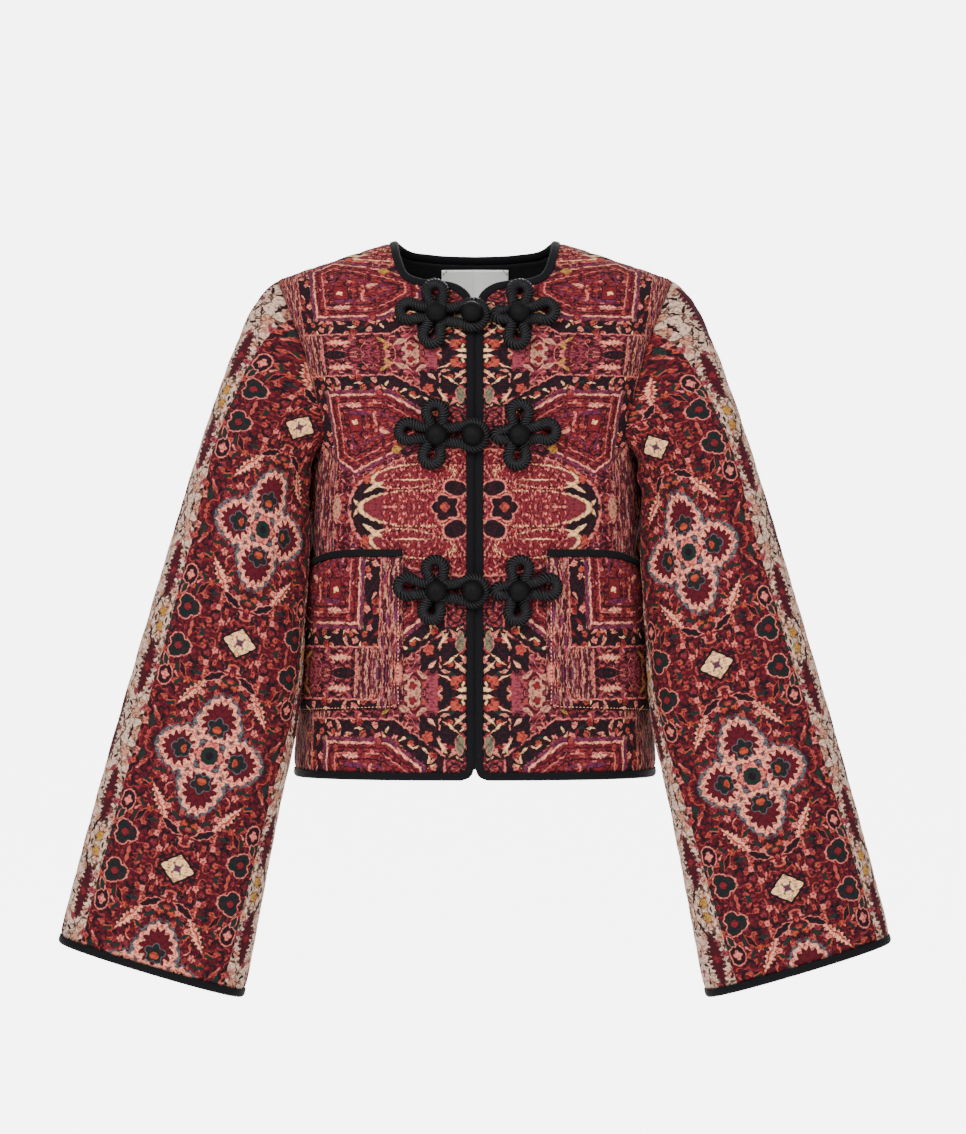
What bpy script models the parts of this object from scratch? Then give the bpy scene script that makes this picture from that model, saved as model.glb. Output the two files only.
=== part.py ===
"""Frog-button jacket: quilted velvet panels, wide sleeves, bound edges and rope fastenings.

Metres, +Z up. The front faces -Y and +X is the wearer's left. The origin lies at the neck, midway
between the two points where the shoulder seams meet the neckline. The cloth is a thin wall, filled
out as if worn, with nothing inside it.
"""

import math

import bmesh
import bpy
import numpy as np
from mathutils import Vector

# Torso, half widths from the centre line and depths from the side seam
HEM_Z = -0.491
CHEST_Z = -0.205
HEM_HALF_WIDTH = 0.166
CHEST_HALF_WIDTH = 0.152
SHOULDER_HALF_WIDTH = 0.183
NECK_HALF_WIDTH = 0.0715
SHOULDER_DROP = 0.037
FRONT_HEM_DEPTH = 0.125
FRONT_CHEST_DEPTH = 0.122
BACK_HEM_DEPTH = 0.118
BACK_CHEST_DEPTH = 0.113
SECTION_POWER = 2.4
WIDENING_POWER = 1.6
WIDENING_START = 1.3
NECK_POWER = 2.0
SHOULDER_POWER = 3.0

# Cloth and sewing
WALL = 0.0030
SEAM_GAP = 0.0003
QUILT_RISE = 0.0014
QUILT_ROOM = 0.0120
BINDING_WIDTH = 0.0065
BINDING_PROUD = 0.0006
BINDING_ROUND = 0.0012
FRONT_MEETING_GAP = 0.0008
HEM_CORNER_RADIUS = 0.012

# Neckline seen from the front, from the shoulder seam to the centre: x, z
FRONT_NECKLINE = (
    (0.0715, 0.0000),
    (0.0670, -0.0200),
    (0.0610, -0.0330),
    (0.0490, -0.0385),
    (0.0300, -0.0405),
    (0.0155, -0.0445),
    (0.0060, -0.0520),
    (0.0004, -0.0640),
)
NECK_CORNER_X = 0.0100
BACK_NECKLINE = (
    (0.0715, 0.0000),
    (0.0620, -0.0058),
    (0.0400, -0.0092),
    (0.0000, -0.0105),
)

# Armhole seen from the front, between the underarm and the shoulder tip: x, z
FRONT_ARMHOLE = ((0.1370, -0.1740), (0.1445, -0.1460), (0.1570, -0.1000), (0.1725, -0.0600))
BACK_ARMHOLE = ((0.1430, -0.1740), (0.1500, -0.1460), (0.1600, -0.1000), (0.1735, -0.0600))

# Mesh rows and columns, each quilted diamond covers two of them
COLUMNS = 12
LOWER_ROWS = 11
UPPER_ROWS = 11
NECK_ROWS = 6
CENTRE_ROWS = LOWER_ROWS + UPPER_ROWS - NECK_ROWS
CORNER_LEAD = 0.0094
CORNER_POINTS = 13
SLEEVE_ROWS = 24
PATH_POINTS = 120
EDGE_LIMIT = 0.995
STEP = 0.0005
WELD_DISTANCE = 1e-6
LOCATE_ROUNDS = 12

# Sleeve seen from the front, its outer and inner edges: x, z
SLEEVE_OUTER = (
    (0.183, -0.037),
    (0.199, -0.055),
    (0.216, -0.091),
    (0.235, -0.146),
    (0.280, -0.294),
    (0.343, -0.512),
    (0.377, -0.639),
)
SLEEVE_INNER = (
    (0.152, -0.205),
    (0.152, -0.293),
    (0.155, -0.367),
    (0.161, -0.441),
    (0.176, -0.512),
    (0.2095, -0.689),
)
# Half depth of the sleeve and its lean to the front along its length: part of length, depth, lean
SLEEVE_DEPTHS = (
    (0.00, 0.064, 0.000),
    (0.10, 0.063, -0.018),
    (0.20, 0.060, -0.046),
    (0.38, 0.054, -0.064),
    (0.65, 0.052, -0.068),
    (1.00, 0.050, -0.068),
)
SLEEVE_POWER = 2.3
SLEEVE_INNER_DELAY = 1.35
CAP_BLEND = 0.30
BODY_CLEARANCE = 0.0095
CLEARANCE_START = 0.08
# Soft folds on each sleeve: start and end along it, angle from its outer edge over the front, width
# of the fold in degrees, depth (a hollow is positive)
SLEEVE_FOLDS = (
    (0.10, 0.46, 128.0, 20.0, 0.0050),
    (0.12, 0.40, 158.0, 18.0, -0.0030),
    (0.30, 0.80, 96.0, 22.0, 0.0030),
    (0.10, 0.50, 232.0, 20.0, 0.0060),
    (0.35, 0.85, 268.0, 24.0, 0.0030),
)

# Pockets
POCKET_INNER_X = 0.064
POCKET_OUTER_ACROSS = 0.88
POCKET_TOP = ((0.0640, -0.2840), (0.1100, -0.2860), (0.1500, -0.3010), (0.1600, -0.3050))
POCKET_BOTTOM_Z = -0.4270
POCKET_BOTTOM_DROP = 0.006
POCKET_CORNER = 0.004
POCKET_COLUMNS = 7
POCKET_ROWS = 6
POCKET_LIFT = 0.0026
POCKET_WALL = 0.0018
POCKET_RISE = 0.0008

# Black facing and bare label inside the back neck
FACING_DEPTH = 0.062
FACING_WALL = 0.0010
FACING_LIFT = 0.0030
FACING_ROWS = 3
LABEL_WIDTH = 0.065
LABEL_TOP = 0.0080
LABEL_HEIGHT = 0.048
LABEL_WALL = 0.0008
LABEL_LIFT = 0.0012
LABEL_COLUMNS = 6
LABEL_ROWS = 4

# Frogs: rope loops laid flat on the fronts, with cloth-covered knobs
FROG_HEIGHTS = (-0.0757, -0.1824, -0.3215)
FROG_NAMES = ("top", "middle", "bottom")
FROG_CENTRE_X = -0.0020
CORD_RADIUS = 0.0045
CORD_LIFT = 0.0020
CORD_POCKET_LIFT = 0.0040
CORD_CLIMB = 0.0110
CORD_TURN = 0.0066
PETAL_POINTS = 8
PETAL_SWEEP = 138.0
# Loops of each half: direction in degrees from +X, distance from its knob, loop radius
LOOP_HALF_X = -0.0310
LOOP_HALF = (
    (0.0, 0.0310, 0.0112),
    (95.0, 0.0200, 0.0083),
    (172.0, 0.0255, 0.0083),
    (255.0, 0.0185, 0.0083),
)
KNOB_HALF_X = 0.0400
KNOB_HALF = (
    (8.0, 0.0255, 0.0083),
    (85.0, 0.0200, 0.0083),
    (180.0, 0.0155, 0.0047),
    (268.0, 0.0190, 0.0083),
)
KNOB_RADIUS = 0.0098
KNOB_SEGMENTS = 14
KNOB_RINGS = 8
KNOB_FLATTENING = 0.88

# Colours, linear red green blue with roughness
VELVET = ("printed_velvet", (0.25, 0.035, 0.035), 0.85)
BINDING = ("black_binding", (0.010, 0.010, 0.012), 0.80)
ROPE = ("black_rope", (0.008, 0.008, 0.009), 0.55)
KNOB_CLOTH = ("black_knob_cloth", (0.012, 0.012, 0.015), 0.60)
FACING_CLOTH = ("black_facing", (0.010, 0.010, 0.012), 0.70)
LABEL_CLOTH = ("white_label", (0.80, 0.80, 0.80), 0.70)


# Small helpers for curves and vectors

def unit(vectors):
    """Vectors scaled to length one, along the last axis."""
    return vectors / np.linalg.norm(vectors, axis=-1, keepdims=True)


def smooth_path(rows, count):
    """Evenly spaced points on a smooth curve through the rows."""
    rows = np.array(rows, dtype=float)
    chords = np.linalg.norm(np.diff(rows, axis=0), axis=1)
    knots = np.concatenate(([0.0], np.cumsum(chords)))
    slopes = np.gradient(rows, knots, axis=0)
    places = np.linspace(0.0, knots[-1], count)
    index = np.clip(np.searchsorted(knots, places) - 1, 0, len(chords) - 1)
    span = chords[index]
    part = ((places - knots[index]) / span)[:, None]
    span = span[:, None]
    keep = 2 * part**3 - 3 * part**2 + 1
    leave = part**3 - 2 * part**2 + part
    arrive = part**3 - part**2
    return (
        keep * rows[index]
        + leave * span * slopes[index]
        + (1 - keep) * rows[index + 1]
        + arrive * span * slopes[index + 1]
    )


def sample(path, positions):
    """Points of a path at fractional indices."""
    indices = np.arange(len(path))
    return np.stack([np.interp(positions, indices, path[:, k]) for k in range(path.shape[1])], axis=1)


def lengths_along(points):
    """Length of a path from its start to each of its points."""
    return np.concatenate(([0.0], np.cumsum(np.linalg.norm(np.diff(points, axis=0), axis=1))))


def stations(points, segments, lead=None):
    """Fractional indices that cut a path into equal lengths, after a first one of a given length."""
    lengths = lengths_along(points)
    if lead is None:
        cuts = np.linspace(0.0, lengths[-1], segments + 1)
    else:
        cuts = np.concatenate(([0.0], np.linspace(lead, lengths[-1], segments)))
    return np.interp(cuts, lengths, np.arange(len(points)))


def coons(bottom, top, start, end):
    """Grid of points between four edges: rows from bottom to top, columns from start to end."""
    across = np.linspace(0.0, 1.0, len(bottom))[None, :, None]
    up = np.linspace(0.0, 1.0, len(start))[:, None, None]
    ruled = (1 - up) * bottom[None] + up * top[None] + (1 - across) * start[:, None] + across * end[:, None]
    low = (1 - across) * bottom[0] + across * bottom[-1]
    high = (1 - across) * top[0] + across * top[-1]
    return ruled - (1 - up) * low - up * high


def length_shares(points):
    """How far along a row of points each one lies, from 0 to 1."""
    lengths = lengths_along(points)
    return lengths / lengths[-1]


def mirrored(points):
    """The same points on the other side of the body."""
    return np.asarray(points) * np.array((-1.0, 1.0, 1.0))


# Outer surface of the torso

def half_width(up):
    """Half width of the level section at a height from -1 at the hem over 0 at the chest to 1."""
    if up <= 0.0:
        return CHEST_HALF_WIDTH - up * (HEM_HALF_WIDTH - CHEST_HALF_WIDTH)
    rise = math.sin(up * math.pi / 2) ** WIDENING_START
    widening = 1 - (1 - rise) ** WIDENING_POWER
    return CHEST_HALF_WIDTH + (SHOULDER_HALF_WIDTH - CHEST_HALF_WIDTH) * widening


def shoulder_height(x):
    """Height of the shoulder seam above a point across the body."""
    return -SHOULDER_DROP * (abs(x) - NECK_HALF_WIDTH) / (SHOULDER_HALF_WIDTH - NECK_HALF_WIDTH)


def rounded_quarter(part, power):
    """Point on a rounded quarter turn: part 0 gives (0, 1) and part 1 gives (1, 0)."""
    angle = part * math.pi / 2
    sideways = math.sin(angle)
    forwards = max(0.0, math.cos(angle))
    reach = (abs(sideways) ** power + forwards**power) ** (-1 / power)
    return reach * sideways, reach * forwards


def quarter_part(sideways, power):
    """The part of a rounded quarter turn that reaches so far sideways."""
    forwards = (1 - abs(sideways) ** power) ** (1 / power)
    return math.atan2(sideways, forwards) * 2 / math.pi


def rounding(across):
    """How square the shoulders are turned above a place on the chest line."""
    return NECK_POWER + (SHOULDER_POWER - NECK_POWER) * across**2


class TorsoSide:
    """Front or back surface, placed by across (0 centre, 1 side seam) and up (-1 hem, 1 shoulder)."""

    def __init__(self, facing, hem_depth, chest_depth):
        self.facing = facing
        self.hem_depth = hem_depth
        self.chest_depth = chest_depth

    def point(self, across, up):
        """Point of the outer surface."""
        sideways, frontal = rounded_quarter(across, SECTION_POWER)
        x = half_width(up) * sideways
        if up <= 0.0:
            depth = self.chest_depth - up * (self.hem_depth - self.chest_depth)
            z = CHEST_Z + up * (CHEST_Z - HEM_Z)
        else:
            rise, lean = rounded_quarter(up, rounding(across))
            depth = self.chest_depth * lean
            z = CHEST_Z + (shoulder_height(x) - CHEST_Z) * rise
        return np.array((x, self.facing * depth * frontal, z))

    def slopes(self, across, up):
        """How the surface point moves with across, and how it moves with up."""
        across = max(-EDGE_LIMIT, min(EDGE_LIMIT, across))
        up = max(-EDGE_LIMIT, min(EDGE_LIMIT, up))
        along = self.point(across + STEP, up) - self.point(across - STEP, up)
        rise = self.point(across, up + STEP) - self.point(across, up - STEP)
        return along / (2 * STEP), rise / (2 * STEP)

    def normal(self, across, up):
        """Outward direction of the surface."""
        along, rise = self.slopes(across, up)
        return unit(np.cross(rise, along) * self.facing)

    def locate(self, x, z):
        """The across and up of the surface point that shows at x, z from the front or back."""
        if z <= CHEST_Z:
            up = (z - CHEST_Z) / (CHEST_Z - HEM_Z)
            return self.locate_across(x, up), up
        rise = min(1.0, (z - CHEST_Z) / (shoulder_height(x) - CHEST_Z))
        across = 0.0
        for _ in range(LOCATE_ROUNDS):
            up = quarter_part(rise, rounding(across))
            across = self.locate_across(x, up)
        return across, up

    @staticmethod
    def locate_across(x, up):
        """The across of a point at x on the section at a height."""
        return quarter_part(max(-1.0, min(1.0, x / half_width(up))), SECTION_POWER)

    def places(self, outline):
        """The across and up of each x, z row of an outline."""
        return np.array([self.locate(x, z) for x, z in outline])

    def points(self, places):
        """Surface points of an array of places, parted at the seams."""
        flat = np.array([self.point(across, up) for across, up in places.reshape(-1, 2)])
        half_gap = SEAM_GAP / 2
        flat[:, 1] = self.facing * np.maximum(self.facing * flat[:, 1], half_gap)
        return flat.reshape(places.shape[:-1] + (3,))

    def normals(self, places):
        """Outward directions of an array of places."""
        flat = np.array([self.normal(across, up) for across, up in places.reshape(-1, 2)])
        return flat.reshape(places.shape[:-1] + (3,))

    def inset_places(self, places, inset):
        """A path of places moved over the surface into the cloth, with its ends kept on the seams."""
        tangents = unit(np.gradient(self.points(places), axis=0))
        inwards = np.cross(self.normals(places), tangents) * inset
        moved = places.copy()
        for place, step in zip(moved, inwards):
            slopes = np.stack(self.slopes(*place), axis=1)
            place += np.linalg.lstsq(slopes, step, rcond=None)[0]
        moved[[0, -1], 1] = places[[0, -1], 1]
        return moved

    def even_grid(self, grid):
        """Move places along the rows and then along the columns, until they are spaced as on the edges."""
        return self.even_rows(self.even_rows(grid.swapaxes(0, 1)).swapaxes(0, 1))

    def even_rows(self, grid):
        """Move places along their columns until the rows are spaced as on the first and last."""
        first = length_shares(self.points(grid[:, 0]))
        last = length_shares(self.points(grid[:, -1]))
        evened = grid.copy()
        for column in range(1, grid.shape[1] - 1):
            part = column / (grid.shape[1] - 1)
            shares = length_shares(self.points(grid[:, column]))
            positions = np.interp((1 - part) * first + part * last, shares, np.arange(len(shares)))
            evened[:, column] = sample(grid[:, column], positions)
        return evened


FRONT = TorsoSide(-1.0, FRONT_HEM_DEPTH, FRONT_CHEST_DEPTH)
BACK = TorsoSide(1.0, BACK_HEM_DEPTH, BACK_CHEST_DEPTH)


def body_reach(y, z):
    """How far the torso reaches sideways at a depth and height."""
    side = FRONT if y < 0 else BACK
    up = min(0.0, (z - CHEST_Z) / (CHEST_Z - HEM_Z))
    depth = side.chest_depth - up * (side.hem_depth - side.chest_depth)
    inside = max(0.0, 1 - (abs(y) / depth) ** SECTION_POWER)
    return half_width(up) * inside ** (1 / SECTION_POWER)


# Finished edges and their bindings

def inset_outline(outline, inset):
    """An outline moved into the cloth, which lies to the left of its direction."""
    tangents = unit(np.gradient(outline, axis=0))
    return outline + inset * np.stack((-tangents[:, 1], tangents[:, 0]), axis=1)


def front_edge(inset):
    """Neck, centre and hem stretches of a front's edge, as places, at a distance into the cloth."""
    neck = smooth_path(FRONT_NECKLINE, PATH_POINTS)
    corner = int(np.argmax(neck[:, 0] < NECK_CORNER_X))
    neck = inset_outline(neck, inset)
    centre_x = FRONT_MEETING_GAP / 2 + inset
    turn = math.pi + np.linspace(0.0, math.pi / 2, CORNER_POINTS)
    middle = len(turn) // 2
    pivot = np.array((FRONT_MEETING_GAP / 2 + HEM_CORNER_RADIUS, HEM_Z + HEM_CORNER_RADIUS))
    arc = pivot + (HEM_CORNER_RADIUS - inset) * np.stack((np.cos(turn), np.sin(turn)), axis=1)
    straight_z = np.linspace(neck[-1, 1], arc[0, 1], PATH_POINTS)[1:-1]
    straight = np.stack((np.full_like(straight_z, centre_x), straight_z), axis=1)
    neck_places = FRONT.places(neck[: corner + 1])
    centre_places = FRONT.places(np.concatenate((neck[corner:], straight, arc[: middle + 1])))
    corner_places = FRONT.places(arc[middle:])
    hem_across = np.linspace(corner_places[-1, 0], 1.0, PATH_POINTS)[1:]
    hem = np.stack((hem_across, np.full_like(hem_across, corner_places[-1, 1])), axis=1)
    return neck_places, centre_places, np.concatenate((corner_places, hem))


def front_edge_stations():
    """Where the rows and columns of a front meet its edge, on each of the three stretches."""
    neck, centre, hem = (FRONT.points(path) for path in front_edge(BINDING_WIDTH))
    from_hem = len(centre) - 1 - stations(centre[::-1], CENTRE_ROWS, CORNER_LEAD)[::-1]
    return stations(neck, NECK_ROWS), from_hem, stations(hem, COLUMNS, CORNER_LEAD)


def front_edge_places(inset):
    """Neck, centre and hem places at the stations, each from the neck to the side seam."""
    return [sample(path, cuts) for path, cuts in zip(front_edge(inset), front_edge_stations())]


def whole_front_edge(inset):
    """The same places as one path from the neck over the centre to the side seam."""
    neck, centre, hem = front_edge_places(inset)
    return np.concatenate((neck[:-1], centre[:-1], hem))


def back_neck_places(inset):
    """Places along the back neckline at a distance into the cloth, from right to left."""
    half = smooth_path(BACK_NECKLINE, PATH_POINTS)
    edge = BACK.places(np.concatenate((half * np.array((-1.0, 1.0)), half[-2::-1])))
    sewn = BACK.inset_places(edge, BINDING_WIDTH)
    cuts = stations(BACK.points(sewn), 2 * NECK_ROWS)
    return sample(BACK.inset_places(edge, inset), cuts)


def back_hem_places(inset):
    """Places along the back hem, from right to left."""
    up = BACK.locate(0.0, HEM_Z + inset)[1]
    path = np.stack((np.linspace(-1.0, 1.0, 2 * PATH_POINTS), np.full(2 * PATH_POINTS, up)), axis=1)
    return sample(path, stations(BACK.points(path), 2 * COLUMNS))


def binding_sections(side, inner_places, outer_places):
    """Rounded sections of a binding between its sewn line and the finished edge."""
    sewn = side.points(inner_places)
    edge = side.points(outer_places)
    return strip_sections(sewn, edge, side.normals(inner_places), side.normals(outer_places))


def strip_sections(sewn, edge, sewn_normals, edge_normals, lift=0.0, wall=WALL):
    """Five points a section, from the sewn line over the outside to the edge and back inside."""
    top = lift + BINDING_PROUD
    base = lift - wall - BINDING_PROUD
    shoulder = edge + (sewn - edge) * (BINDING_ROUND / BINDING_WIDTH)
    return np.stack(
        (
            sewn + sewn_normals * top,
            shoulder + edge_normals * top,
            edge + edge_normals * (top + base) / 2,
            shoulder + edge_normals * base,
            sewn + sewn_normals * base,
        ),
        axis=1,
    )


# Building objects

def make_material(finish):
    """Principled material for a finish, made once."""
    name, colour, roughness = finish
    material = bpy.data.materials.get(name)
    if material is None:
        material = bpy.data.materials.new(name)
        material.use_nodes = True
        shader = material.node_tree.nodes["Principled BSDF"]
        shader.inputs["Base Color"].default_value = (*colour, 1.0)
        shader.inputs["Roughness"].default_value = roughness
        shader.inputs["Metallic"].default_value = 0.0
        material.diffuse_color = (*colour, 1.0)
    return material


class Jacket:
    """The collection and the empty that hold every piece."""

    def __init__(self):
        self.collection = bpy.data.collections.new("frog_button_jacket")
        bpy.context.scene.collection.children.link(self.collection)
        self.root = bpy.data.objects.new("jacket", None)
        self.collection.objects.link(self.root)

    def add(self, name, data, finish):
        """Link a mesh or curve as a named piece."""
        piece = bpy.data.objects.new(name, data)
        data.materials.append(make_material(finish))
        piece.parent = self.root
        self.collection.objects.link(piece)
        return piece

    def add_mesh(self, name, vertices, faces, finish):
        """Link a closed mesh with its faces turned outwards."""
        mesh = bpy.data.meshes.new(name)
        mesh.from_pydata([tuple(vertex) for vertex in vertices], [], faces)
        shape = bmesh.new()
        shape.from_mesh(mesh)
        bmesh.ops.remove_doubles(shape, verts=shape.verts, dist=WELD_DISTANCE)
        bmesh.ops.recalc_face_normals(shape, faces=shape.faces)
        shape.to_mesh(mesh)
        shape.free()
        return self.add(name, mesh, finish)


def split(vertices, a, b, c, d):
    """Two triangles of a four-sided face, parted along its shorter diagonal."""
    if np.linalg.norm(vertices[a] - vertices[c]) <= np.linalg.norm(vertices[b] - vertices[d]):
        return [(a, b, c), (a, c, d)]
    return [(a, b, d), (b, c, d)]


def wall_mesh(outer, inner, closed, joined_rows=0):
    """Vertices and triangles of a wall between two grids, split along the quilting lines.

    The first rows may stay open on the first column, where a mirrored half joins on.
    """
    rows, columns = outer.shape[:2]
    vertices = np.concatenate((outer.reshape(-1, 3), inner.reshape(-1, 3)))
    inside = rows * columns
    spans = columns if closed else columns - 1
    faces = []
    for row in range(rows - 1):
        for column in range(spans):
            following = (column + 1) % columns
            a, b = row * columns + column, row * columns + following
            c, d = a + columns, b + columns
            if (row + column) % 2 == 0:
                faces += [(a, b, d), (a, d, c)]
            else:
                faces += [(a, b, c), (b, d, c)]
            faces += [(a + inside, d + inside, b + inside), (a + inside, c + inside, d + inside)]
    rims = [[row * columns + column for column in range(columns)] for row in (0, rows - 1)]
    if closed:
        rims = [rim + rim[:1] for rim in rims]
    else:
        rims.append([row * columns for row in range(joined_rows, rows)])
        rims.append([row * columns + columns - 1 for row in range(rows)])
    for rim in rims:
        for a, b in zip(rim, rim[1:]):
            faces += split(vertices, a, b, b + inside, a + inside)
    return vertices, faces


def strip_mesh(sections, closed):
    """Vertices and triangles of a bar through a row of like sections."""
    count, corners = sections.shape[:2]
    vertices = sections.reshape(-1, 3)
    faces = []
    for index in range(count if closed else count - 1):
        following = (index + 1) % count
        for corner in range(corners):
            turn = (corner + 1) % corners
            a, b = index * corners + corner, index * corners + turn
            c, d = following * corners + corner, following * corners + turn
            faces += split(vertices, a, b, d, c)
    if not closed:
        for start in (0, (count - 1) * corners):
            faces += [(start, start + k, start + k + 1) for k in range(1, corners - 1)]
    return vertices, faces


def cell_room(points, row, column):
    """Smallest height of the four triangles that meet around a grid point."""
    columns = points.shape[1]
    around = ((row + 1, column), (row, (column + 1) % columns), (row - 1, column), (row, column - 1))
    spokes = [points[place] - points[row, column] for place in around]
    heights = []
    for spoke, following in zip(spokes, spokes[1:] + spokes[:1]):
        longest = max(np.linalg.norm(spoke), np.linalg.norm(following))
        heights.append(np.linalg.norm(np.cross(spoke, following)) / longest)
    return min(heights)


def quilted(points, normals, rise, closed):
    """Raise every second point inside a grid, so that diamonds stand between low stitched lines."""
    raised = points.copy()
    rows, columns = points.shape[:2]
    first, last = (0, columns) if closed else (1, columns - 1)
    for row in range(1, rows - 1):
        for column in range(first, last):
            if (row + column) % 2:
                fullness = min(1.0, cell_room(points, row, column) / QUILT_ROOM) ** 2
                raised[row, column] += normals[row, column] * rise * fullness
    return raised


# Cloth panels and sleeves, worked out for the wearer's left

def armhole_places(side, outline):
    """Places on the armhole edge from the underarm to the shoulder tip."""
    rows = np.concatenate(([(1.0, 0.0)], side.places(outline), [(1.0, 1.0)]))
    path = smooth_path(rows, PATH_POINTS)
    path = np.clip(path, -1.0, 1.0)
    flat = np.array([side.point(across, up) for across, up in path])
    return sample(path, stations(flat, UPPER_ROWS))


def side_edge_places(side, outline):
    """Places from the bottom of the side seam over the underarm to the shoulder tip."""
    low = side.locate(0.0, HEM_Z + BINDING_WIDTH + SEAM_GAP)[1]
    seam = np.stack((np.ones(LOWER_ROWS), np.linspace(low, 0.0, LOWER_ROWS + 1)[:-1]), axis=1)
    return np.concatenate((seam, armhole_places(side, outline)))


def shoulder_places(side, start, columns):
    """Places on the shoulder seam from the end of the neckline to the tip, without its first."""
    start_x = side.point(*start)[0]
    outline = [(x, shoulder_height(x)) for x in np.linspace(start_x, SHOULDER_HALF_WIDTH, columns + 1)]
    return side.places(outline)[1:]


def front_places():
    """Grid of places on a front, rows from the hem up, columns from the centre to the side."""
    neck, centre, hem = front_edge_places(BINDING_WIDTH + SEAM_GAP)
    opening = np.concatenate((centre[::-1], neck[-2::-1]))
    shoulder = np.concatenate((neck[:1], shoulder_places(FRONT, neck[0], COLUMNS)))
    return FRONT.even_grid(coons(hem, shoulder, opening, side_edge_places(FRONT, FRONT_ARMHOLE)))


def back_places():
    """Grid of places on the left half of the back, rows from the hem up, columns from the centre."""
    neck = back_neck_places(BINDING_WIDTH + SEAM_GAP)[NECK_ROWS:]
    hem = back_hem_places(BINDING_WIDTH + SEAM_GAP)[COLUMNS:]
    centre = np.linspace(hem[0], neck[0], PATH_POINTS)
    centre = sample(centre, stations(BACK.points(centre), CENTRE_ROWS))
    opening = np.concatenate((centre, neck[1:]))
    shoulder = np.concatenate((neck[-1:], shoulder_places(BACK, neck[-1], COLUMNS)))
    return BACK.even_grid(coons(hem, shoulder, opening, side_edge_places(BACK, BACK_ARMHOLE)))


class Sleeve:
    """Left sleeve as rings from the armhole to the cuff, first point at the top, then over the front."""

    def __init__(self, armhole):
        self.count = len(armhole)
        self.outer = smooth_path(SLEEVE_OUTER, PATH_POINTS)
        self.inner = smooth_path(SLEEVE_INNER, PATH_POINTS)
        self.length = np.linalg.norm(np.diff(self.outer, axis=0), axis=1).sum()
        self.cap_shift = armhole - self.oval(0.0)

    def oval(self, along):
        """Plain ring at a part of the length."""
        inner_along = along**SLEEVE_INNER_DELAY
        last = PATH_POINTS - 1
        outer = sample(self.outer, [along * last])[0]
        inner = sample(self.inner, [inner_along * last])[0]
        parts, depths, leans = np.array(SLEEVE_DEPTHS).T
        depth = np.interp(along, parts, depths)
        lean = np.interp(along, parts, leans)
        middle = (outer + inner) / 2
        reach = (outer - inner) / 2
        angles = np.arange(self.count) * 2 * math.pi / self.count
        power = SLEEVE_POWER
        size = (np.abs(np.cos(angles)) ** power + np.abs(np.sin(angles)) ** power) ** (-1 / power)
        sideways = size * np.cos(angles)
        frontal = size * np.sin(angles)
        return np.stack(
            (middle[0] + reach[0] * sideways, lean - depth * frontal, middle[1] + reach[1] * sideways),
            axis=1,
        )

    def ring(self, along):
        """Ring that starts on the armhole and keeps clear of the torso."""
        blend = max(0.0, 1 - along / CAP_BLEND) ** 2
        ring = self.oval(along) + blend * self.cap_shift
        if along > 0.0:
            clearance = BODY_CLEARANCE * min(1.0, along / CLEARANCE_START)
            for point in ring:
                if point[2] < CHEST_Z:
                    point[0] = max(point[0], body_reach(point[1], point[2]) + clearance)
        return ring

    def rings(self, parts):
        """Rings at several parts of the length, with the folds pressed in, and their normals."""
        grid = np.array([self.ring(along) for along in parts])
        normals = self.normals(grid)
        turn = np.arange(self.count) * 360.0 / self.count
        for start, end, angle, width, depth in SLEEVE_FOLDS:
            part = np.clip((np.array(parts) - start) / (end - start), 0.0, 1.0)
            strength = np.sin(part * math.pi) ** 2
            nearness = np.exp(-(((turn - angle) / width) ** 2))
            grid = grid - normals * (strength[:, None] * nearness[None, :] * depth)[:, :, None]
        return grid, self.normals(grid)

    def normals(self, grid):
        """Outward directions of a grid of rings."""
        around = np.roll(grid, -1, axis=1) - np.roll(grid, 1, axis=1)
        down = np.gradient(grid, axis=0)
        return unit(np.cross(around, down))


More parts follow.
